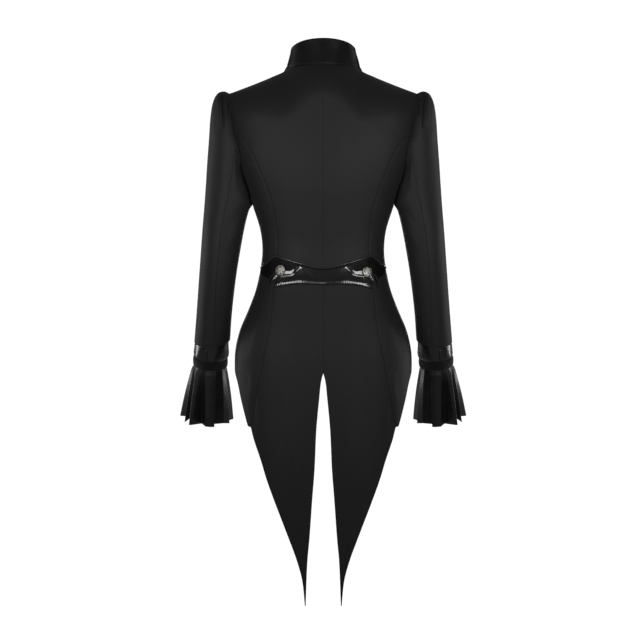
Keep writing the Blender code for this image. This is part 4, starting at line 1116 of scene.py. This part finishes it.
waist = waist_line(YOKE_BOTTOM, TAIL_SEAM[0].across)
tail_foot = TAIL_HEM[-1].height
seam_end = TAIL_SEAM[-1].height
tail_seam = seam_places(TAIL_SEAM, np.linspace(TAIL_SEAM[0].height, seam_end, TAIL_SEAM_ROWS + 1))
tail_seam[0] = waist[back_columns]
tail_hem = seam_places(TAIL_HEM, np.linspace(seam_end, tail_foot, TAIL_HEM_ROWS + 1)[1:])
tail_outer = np.concatenate([tail_seam, tail_hem])
vent_rows = TAIL_SEAM_ROWS + TAIL_HEM_ROWS - ABOVE_VENT_ROWS
inner_height = np.concatenate(
    [
        np.linspace(YOKE_BOTTOM[0].height, VENT_TOP, ABOVE_VENT_ROWS + 1),
        np.linspace(VENT_TOP, tail_foot, vent_rows + 1)[1:],
    ]
)
tail_inner = seam_places(VENT, inner_height)
tail_inner[0] = waist[0]
tail_top = waist[: back_columns + 1]
across_share = np.linspace(0, 1, len(tail_top))[:, None]
tail_bottom = tail_inner[-1] * (1 - across_share) + tail_outer[-1] * across_share
tail_back_places = fill(tail_inner, tail_outer, tail_top, tail_bottom)

front_foot = front_seam[-1]
side_top = np.concatenate([waist[back_columns:], front_waist(90, front_foot[0], SIDE_COLUMNS)[1:]])
side_top[-1] = front_foot
cut_height = np.linspace(front_foot[1], seam_end + CUTAWAY_LIFT, TAIL_SEAM_ROWS + 1)
cut_edge = edge(curve(CUTAWAY, "angle")(cut_height), cut_height)
cut_edge[0] = front_foot
across_share = np.linspace(0, 1, len(side_top))[:, None]
side_bottom = tail_seam[-1] * (1 - across_share) + cut_edge[-1] * across_share
tail_side_places = fill(tail_seam, cut_edge, side_top, side_bottom)
for hand, mirror in SIDES:
    hangs = {"held": "hung", "rests_on": ["waist_yoke"], "mirror": mirror}
    sew_panel("tail_back_" + hand, tail_back_places, tail_creases, (0.17, 0.71), 0.075, **hangs)
    sew_panel("tail_side_" + hand, tail_side_places, tail_creases, (0.22, 0.33), 0.045, **hangs)

# ---------------------------------------------------------------------------------------------------
# Sleeves: an upper and an under sleeve of suiting, seamed behind and in front. The head is cut full and
# taken in by two small pleats on each side of the shoulder, so that it stands up in a soft puff.
ARMHOLE_FADE = 3.5
ARMHOLE_LIFT = 0.9
ARMHOLE_TUCK = 0.7
ARM_SEAM_TURN = 0.30
SLEEVE_SPREAD = 1.25
SLEEVE_SEAM_SINK = 0.8
SLEEVE_SIDE_FADE = 14
SLEEVE_ROWS = 150
SLEEVE_COLUMNS = 56
Ring = namedtuple("Ring", "station inner inner_height outer outer_height reach depth tilt")
SLEEVE = rows_of(
    Ring,
    (0, 168, -245, 202, -50, 56, -4, 0), (1, 167.5, -248, 216, -45.5, 60, -4, 0),
    (2, 165.3, -251, 229, -52, 62, -4, 0), (3, 162.4, -256, 238, -72, 62, -4, 0),
    (4, 159.4, -262, 243, -105, 62, -4, 0), (5, 156.6, -270, 246, -150, 61, -3, 0),
    (6, 154.9, -279, 249.5, -197, 60, -2, 0), (7, 152.4, -290, 252.5, -245, 58, 0, 0),
    (8, 159.8, -303, 256, -295, 56, 2, 0), (9, 170, -344, 260, -344, 53, 3, 3),
    (10, 185, -430, 266, -430, 49, -6, 9), (11, 195.5, -516, 272, -516, 46, -26, 14),
    (12, 200, -580, 277.5, -586, 44, -46, 16),
)
SleeveSeam = namedtuple("SleeveSeam", "station turn")
BACK_ARM_SEAM = rows_of(
    SleeveSeam,
    (0, 0.30), (3, 0.285), (5, 0.272), (8, 0.24), (10, 0.237), (11, 0.255), (12, 0.273),
)
# Pleats and creases as seen from behind on the left sleeve; the right one and the front are alike.
SLEEVE_CREASES = rows_of(
    Crease,
    (216.5, -46, 216.5, -124, -6.5, 3.2), (224, -44, 223, -134, 1.8, 3.8),
    (203.5, -60, 202, -98, -4.5, 2.6), (210.5, -40, 209.5, -120, 2.4, 3.2), (232, -56, 236, -150, 1.2, 8),
    (186, -156, 176, -262, -2.8, 8), (196, -140, 188, -250, 1.6, 9), (228, -170, 238, -330, -1.0, 12),
    (176, -300, 214, -352, -1.4, 8), (172, -330, 206, -384, 1.0, 7), (182, -366, 214, -410, -0.9, 8),
    (250, -300, 240, -420, 0.9, 10), (208, -440, 222, -560, -0.8, 9), (262, -470, 252, -575, 0.8, 9),
)


def rings_at(rows, stations):
    return Ring(*(curve(rows, column)(stations)[..., None] for column in Ring._fields))


def ring_middles(ring):
    parts = [(ring.inner + ring.outer) / 2, ring.depth, (ring.inner_height + ring.outer_height) / 2]
    return np.concatenate(parts, -1)


def ring_points(ring, turn, scale=1.0, wall=0.0):
    """Points on rings: turn 0 on the outer side, 0.25 behind and 0.5 on the inner side."""
    turn = 2 * math.pi * turn[..., None]
    zero = 0 * ring.inner
    outward = np.concatenate(
        [(ring.outer - ring.inner) / 2, zero, (ring.outer_height - ring.inner_height) / 2], -1
    )
    outward = outward * (1 - wall / np.linalg.norm(outward, axis=-1, keepdims=True))
    tilt = np.radians(ring.tilt)
    backward = np.concatenate([zero, np.cos(tilt), -np.sin(tilt)], -1) * (ring.reach - wall)
    step = outward[:, None] * np.cos(turn) + backward[:, None] * np.sin(turn)
    return ring_middles(ring)[:, None] + step * np.asarray(scale)[..., None]


def sleeve_grid(stations, turns):
    """Outer face of the sleeve, which starts tucked in just behind the bodice's edge at the armhole."""
    grid = ring_points(rings_at(SLEEVE, stations), turns)
    start = torso(armhole(turns), ARMHOLE_LIFT) - (ARMHOLE_TUCK, 0, 0)
    plain = ring_points(rings_at(SLEEVE, 0 * stations), turns)
    fade = np.clip(1 - stations / ARMHOLE_FADE, 0, 1) ** 2
    return grid + (start - plain) * fade[:, None, None]


def wandering_turns(size, stations):
    """Turns of the sleeve's columns at each station: they follow the seam behind and its twin in front."""
    seam = curve(BACK_ARM_SEAM, "turn")(stations)[:, None]
    upper = size / ARM_SEAM_TURN * seam
    under = 0.5 - (0.5 - size) / (0.5 - ARM_SEAM_TURN) * (0.5 - seam)
    return np.where(size <= ARM_SEAM_TURN, upper, under)


stations = SLEEVE[-1].station * np.linspace(0, 1, SLEEVE_ROWS + 1) ** SLEEVE_SPREAD
upper_size = np.linspace(-ARM_SEAM_TURN, ARM_SEAM_TURN, SLEEVE_COLUMNS * 2 + 1)[::-1]
under_size = np.linspace(ARM_SEAM_TURN, 1 - ARM_SEAM_TURN, SLEEVE_COLUMNS + 1)


def sleeve_turns(sizes):
    """The same turn counted from 0 to 1 round the arm, for behind (up to 0.5) and for in front."""
    folded = np.where(np.abs(sizes) > 0.5, 1 - np.abs(sizes), np.abs(sizes))
    turned = wandering_turns(folded[None], stations)
    in_front = (sizes < 0) | (sizes > 0.5)
    return np.where(in_front[None], 1 - turned, turned)


sleeve_middles = ring_middles(rings_at(SLEEVE, stations))
for hand, mirror in SIDES:
    for part, sizes, flat, area in (
        ("upper", upper_size, (0.25, 0.62), 0.105),
        ("under", under_size, (0.17, 0.44), 0.055),
    ):
        grid, sink = roll_edges(sleeve_grid(stations, sleeve_turns(sizes)), FABRIC, (True, False))
        middles = np.concatenate([sleeve_middles[:1]] * 2 + [sleeve_middles] + [sleeve_middles[-1:]] * 2)
        behind = np.clip((grid[..., 1] - middles[:, None, 1]) / SLEEVE_SIDE_FADE, -1, 1)
        relief = creased(grid, SLEEVE_CREASES) * np.abs(behind) - SLEEVE_SEAM_SINK * sink
        grid = grid + outward_normals(grid, middles, False) * relief[..., None]
        if mirror:
            grid, middles = grid * (-1, 1, 1), middles * (-1, 1, 1)
        name = part + "_sleeve_" + hand
        piece = shell(name, grid, middles, FABRIC, SUITING)
        finish_piece(piece, name)

# ---------------------------------------------------------------------------------------------------
# Cuffs: a patent leather band sewn inside the sleeve's hem, an upright tab behind its outer side, a dark
# matt ribbon round its foot, and a fan of knife pleats in glossy faux leather, sewn in under it.
CUFF_WALL = 1.2
CUFF_COLUMNS = 110
BAND_ROWS = 60
RIBBON_ROWS = 16
GROOVE_DEPTH = 1.1
GROOVE_WIDTH = 1.3
CUFF_GIRTH = 220
BUCKLE = 0.54
RIBBON_WAVE = 0.7
RIBBON_PLUMP = 0.8
TAB_WALL = 1.6
TAB_LIFT = 2.4
TAB_ROWS = 24
TAB_COLUMNS = 26
TAB_STATIONS = (1.1, 3.0)
TAB_DEGREES = (47, 75)
TAB_INSET = 0.3
CUFF_BAND = rows_of(
    Ring,
    (0, 203, -571, 273.4, -575, 41.2, -43, 16), (1, 202.4, -590, 276.6, -589.5, 41, -48.3, 16),
    (2, 202.2, -601, 278.4, -602, 41.5, -52, 16.5), (3, 203.4, -613, 278.6, -612, 41.3, -55.3, 17),
    (4, 207.9, -619.5, 276.1, -618.5, 40, -57.2, 17), (5, 211.5, -625, 271.5, -624, 37.2, -58.8, 17),
    (6, 212.5, -640, 272.1, -640, 37.1, -63, 17),
)
CUFF_RIBBON = rows_of(
    Ring,
    (0, 205.5, -619, 279.4, -616, 43, -57, 17), (1, 206.0, -635, 279.2, -633, 43, -61.3, 17),
)
FRILL_RINGS = rows_of(
    Ring,
    (0, 208.9, -627, 276.2, -626, 40.2, -59, 17), (1, 208.6, -634.5, 276.7, -633, 40.5, -61.3, 17),
    (2, 206.1, -643.5, 283.8, -642, 44.6, -63.8, 17), (3, 192.4, -749, 308.5, -741, 62, -99, 20),
)
FRILL_WALL = 0.9
FRILL_ROWS = 30
FOLD_RADIUS = 2.0
SEWN_FOLD_RADIUS = 0.6
TOP_FOLD_RADIUS = 0.9
FOLD_SHARE = 0.34
FOLD_STEPS = 4
PANEL_STEPS = 4
FRILL_BOW = 1.5
# Fold lines of the pleats: degrees round the cuff from its outer side over the back, at the top and at
# the hem, how far each lies inside the frill's outline as a share of its radius, and its extra drop.
Fold = namedtuple("Fold", "top hem top_inset hem_inset drop")
FRILL_FOLDS = rows_of(
    Fold,
    (2, 3, 0.00, 0.00, 1), (13, 22, 0.06, 0.20, -4), (24, 34, 0.00, 0.00, 4), (31, 41, 0.06, 0.24, -6),
    (40, 48, 0.00, 0.00, 5), (58, 53, 0.00, 0.02, 4), (63, 68, 0.08, 0.5, 6), (78, 87, 0.00, 0.02, 1),
    (96, 98, 0.00, 0.00, 1), (112, 107, 0.00, 0.00, 1), (108, 103, 0.06, 0.10, -3),
    (138, 130, 0.02, 0.03, -4), (160, 149, 0.00, 0.00, 0), (152, 142, 0.06, 0.14, -3),
    (180, 178, 0.00, 0.00, 0), (187, 188, 0.06, 0.24, -3), (208, 208, 0.00, 0.00, 2),
    (204, 204, 0.06, 0.22, -3), (236, 236, 0.00, 0.01, 1), (231, 231, 0.06, 0.24, -3),
    (264, 264, 0.00, 0.00, 2), (259, 259, 0.06, 0.22, -3), (292, 292, 0.00, 0.01, 0),
    (287, 286, 0.06, 0.24, -3), (318, 320, 0.00, 0.00, 2), (313, 314, 0.06, 0.22, -3),
    (344, 344, 0.00, 0.00, 1), (350, 352, 0.06, 0.22, -3),
)


def make_ribbon_cloth():
    """Dark matt ribbon: fine cross ribs that take almost no light."""
    values = {"Roughness": 0.95, "Specular IOR Level": 0.15, "Sheen Weight": 0.25}
    made, add, feed = node_material("matt_ribbon", values)
    weave = add("UVMap").outputs["UV"]
    ribs = pattern(add, "Wave", weave, Scale=190.0)
    nap = pattern(add, "Noise", weave, Scale=300.0, Detail=3.0)
    feed("Base Color", ramp(add, nap, [(0.3, (0.004, 0.004, 0.004)), (0.7, (0.009, 0.009, 0.0095))]))
    feed("Normal", add("Bump", {"Height": ribs}, Strength=0.5, Distance=0.0003).outputs["Normal"])
    return made


RIBBON = make_ribbon_cloth()


def round_folds(line, radius):
    """A closed line of fold points with each fold rounded and each panel between them cut into steps."""
    made = []
    for index, here in enumerate(line):
        before, after = line[index - 1], line[(index + 1) % len(line)]
        back, ahead = before - here, after - here
        starts = here + unit(back) * min(radius, np.linalg.norm(back) * FOLD_SHARE)
        ends = here + unit(ahead) * min(radius, np.linalg.norm(ahead) * FOLD_SHARE)
        for step in range(FOLD_STEPS + 1):
            t = step / FOLD_STEPS
            made.append(starts * (1 - t) ** 2 + here * 2 * t * (1 - t) + ends * t**2)
        far = after + unit(here - after) * min(radius, np.linalg.norm(here - after) * FOLD_SHARE)
        for step in range(1, PANEL_STEPS + 1):
            made.append(ends + (far - ends) * step / (PANEL_STEPS + 1))
    return np.array(made)


def frill_grid():
    """Outer face of the frill, from the seam under the ribbon to the hem."""
    folds = {column: np.array([getattr(fold, column) for fold in FRILL_FOLDS]) for column in Fold._fields}
    top, hem = folds["top"][None] / 360, folds["hem"][None] / 360
    rings = [Ring(*(np.array([[value]], float) for value in ring)) for ring in FRILL_RINGS]
    loops = [
        ring_points(rings[0], top)[0],
        ring_points(rings[1], top)[0],
        ring_points(rings[2], top, 1 - folds["top_inset"][None])[0],
        ring_points(rings[3], hem, 1 - folds["hem_inset"][None])[0] - folds["drop"][:, None] * (0, 0, 1),
    ]
    middles = [ring_middles(ring)[0] for ring in rings]
    rows = [round_folds(loop, SEWN_FOLD_RADIUS) for loop in loops[:2]]
    row_middles = middles[:2]
    for share in np.arange(FRILL_ROWS + 1) / FRILL_ROWS:
        line = loops[2] * (1 - share) + loops[3] * share
        middle = middles[2] * (1 - share) + middles[3] * share
        line = line + unit(line - middle) * math.sin(share * math.pi) * FRILL_BOW
        rows.append(round_folds(line, TOP_FOLD_RADIUS + (FOLD_RADIUS - TOP_FOLD_RADIUS) * share))
        row_middles.append(middle)
    return np.array(rows), np.array(row_middles)


def round_the_cuff(rings, stations):
    """A closed grid round the cuff, with the middles of its rows, its outward normals and its turns."""
    rings = rings_at(rings, stations)
    around = np.arange(CUFF_COLUMNS)[None] / CUFF_COLUMNS
    grid, middles = ring_points(rings, around + 0 * stations[:, None]), ring_middles(rings)
    return grid, middles, outward_normals(grid, middles, True), around


# The upper sleeve's seam shows through the band as a groove: its turn at these stations of the band.
GROOVE_STATIONS = [1, 2, 3.2]
GROOVE_TURNS = [0.275, 0.257, 0.212]
band_stations = np.linspace(0, CUFF_BAND[-1].station, BAND_ROWS)
band, band_middles, normals, around = round_the_cuff(CUFF_BAND, band_stations)
down = band_stations[:, None]
groove = bell((around - np.interp(down, GROOVE_STATIONS, GROOVE_TURNS)) * CUFF_GIRTH, GROOVE_WIDTH)
buckle = BUCKLE * np.sin(around * 37 + down * 1.7) * np.sin(around * 2 * math.pi + 0.6)
band = band + normals * (buckle - groove * GROOVE_DEPTH)[..., None]

down = np.linspace(0, CUFF_RIBBON[-1].station, RIBBON_ROWS)
ribbon, ribbon_middles, normals, around = round_the_cuff(CUFF_RIBBON, down)
down = down[:, None]
wave = RIBBON_WAVE * np.sin(around * 31 + 2 * down) * np.sin(around * 2 * math.pi)
ribbon = ribbon + normals * (wave + RIBBON_PLUMP * np.sin(down * math.pi))[..., None]

tab_rings = rings_at(CUFF_BAND, np.linspace(*TAB_STATIONS, TAB_ROWS))
tab_turns = np.linspace(*TAB_DEGREES, TAB_COLUMNS)[None] / 360 + np.zeros((TAB_ROWS, 1))
tab = ring_points(tab_rings, tab_turns, wall=-TAB_LIFT)
tab, _ = close_rows(tab, np.zeros(tab.shape[:2]), True, TAB_INSET)
frill, frill_middles = frill_grid()


def sew_cuff_piece(name, grid, middles, wall, material, slot, mirror, ring=True, **cut):
    flip = (-1, 1, 1) if mirror else (1, 1, 1)
    piece = shell(name, grid * flip, middles * flip, wall, material, ring)
    finish_piece(piece, name)


for hand, mirror in SIDES:
    cuff = ["cuff_band_" + hand]
    sew_cuff_piece(
        "cuff_band_" + hand, band, band_middles, CUFF_WALL, SOFT_PATENT, "patent_leather", mirror,
        flat=(0.23, 0.068), held="draped", rests_on=["upper_sleeve_" + hand],
    )
    sew_cuff_piece(
        "cuff_ribbon_" + hand, ribbon, ribbon_middles, CUFF_WALL, RIBBON, "ribbon", mirror,
        flat=(0.26, 0.024), held="draped", rests_on=cuff,
    )
    sew_cuff_piece(
        "cuff_tab_" + hand, tab, ring_middles(tab_rings), TAB_WALL, SOFT_PATENT, "patent_leather", mirror,
        ring=False, flat=(0.02, 0.024), held="draped", rests_on=cuff,
    )
    sew_cuff_piece(
        "cuff_frill_" + hand, frill, frill_middles, FRILL_WALL, FRILL_PATENT, "patent_leather", mirror,
        flat=(0.46, 0.115), held="gathered", rests_on=cuff,
    )

# ---------------------------------------------------------------------------------------------------
# Studio: a plain pale floor, soft light on the back from both sides, a strip beyond each side, a fill in
# front, and the camera of the photograph, straight behind the coat and far away.
FLOOR_HEIGHT = -1250
FLOOR_HALF_WIDTH = 4000
FLOOR_GLOW = 0.45
ROOM_LIGHT = 0.1
BACKDROP = 1.05
PIXEL = 2.15
PHOTO_PIXELS = 640
CAMERA_PIXELS = (3.25, -250)
CAMERA_DISTANCE = 3000
WHITE = (1, 1, 1, 1)
# Places, aims and sizes in metres, watts, and degrees of spread. Those beside the coat hang on both sides.
Lamp = namedtuple("Lamp", "name place aim size power spread")
LAMPS = rows_of(
    Lamp,
    ("softbox", (0.75, 1.16, -0.25), (0.08, 0.1, -0.12), (0.62, 0.42), 2.15, 105),
    ("strip", (1.4, -0.7, -0.38), (0.25, 0, -0.3), (0.26, 0.8), 1.45, 110),
)
FRONT_LAMP = Lamp("front_fill", (0, -2, -0.2), (0, 0, -0.4), (1.4, 0.8), 16, 180)


def make_floor():
    """A pale sheet that looks white to the camera and stays dim for the light it throws back."""
    made, add, feed = node_material("pale_floor", {"Roughness": 0.9, "Emission Color": WHITE})
    speck = add("TexNoise", Scale=40.0, Detail=3.0).outputs["Fac"]
    feed("Base Color", ramp(add, speck, [(0.0, 0.8), (1.0, 0.86)]))
    seen = add("LightPath").outputs["Is Camera Ray"]
    feed("Emission Strength", add("Math", {0: seen, 1: FLOOR_GLOW}, operation="MULTIPLY").outputs[0])
    corners = [(x, y, FLOOR_HEIGHT) for x, y in ((-1, -1), (1, -1), (1, 1), (-1, 1))]
    corners = [Vector((x * FLOOR_HALF_WIDTH, y * FLOOR_HALF_WIDTH, z)) * MM for x, y, z in corners]
    mesh = bpy.data.meshes.new("floor")
    mesh.from_pydata(corners, [], [(0, 1, 2, 3)])
    mesh.materials.append(made)
    put_in_scene("floor", mesh)


def make_surroundings():
    """White behind the coat, and a much dimmer room for the light that falls on it."""
    world = bpy.data.worlds.new("studio")
    bpy.context.scene.world = world
    world.use_nodes = True
    tree = world.node_tree
    add = node_adder(tree, "ShaderNode")
    seen = add("LightPath").outputs["Is Camera Ray"]
    room = add("Background", {"Color": WHITE, "Strength": ROOM_LIGHT}).outputs[0]
    paper = add("Background", {"Color": WHITE, "Strength": BACKDROP}).outputs[0]
    mixed = add("MixShader", {"Fac": seen, 1: room, 2: paper}).outputs[0]
    tree.links.new(mixed, tree.nodes["World Output"].inputs["Surface"])


def hang_lamp(name, lamp, side=1):
    """A rectangular lamp at its place and aim, or mirrored to the other side."""
    mirror = Vector((side, 1, 1))
    place, aim = Vector(lamp.place) * mirror, Vector(lamp.aim) * mirror
    light = bpy.data.lights.new(name, "AREA")
    light.shape = "RECTANGLE"
    light.size, light.size_y = lamp.size
    light.energy = lamp.power
    light.spread = math.radians(lamp.spread)
    hung = put_in_scene(name, light)
    hung.location = place
    hung.rotation_euler = (aim - place).to_track_quat("-Z", "Y").to_euler()
    hung.visible_camera = False


def place_camera():
    lens = bpy.data.cameras.new("photo_camera")
    lens.type = "ORTHO"
    lens.ortho_scale = PHOTO_PIXELS * PIXEL * MM
    camera = put_in_scene("photo_camera", lens)
    across, up = (pixels * PIXEL for pixels in CAMERA_PIXELS)
    camera.location = Vector((across, CAMERA_DISTANCE, up)) * MM
    camera.rotation_euler = (math.radians(90), 0, math.radians(180))
    bpy.context.scene.camera = camera


make_floor()
make_surroundings()
for lamp in LAMPS:
    hang_lamp("left_" + lamp.name, lamp)
    hang_lamp("right_" + lamp.name, lamp, -1)
hang_lamp(FRONT_LAMP.name, FRONT_LAMP)
place_camera()
bpy.context.scene.view_settings.view_transform = "Standard"
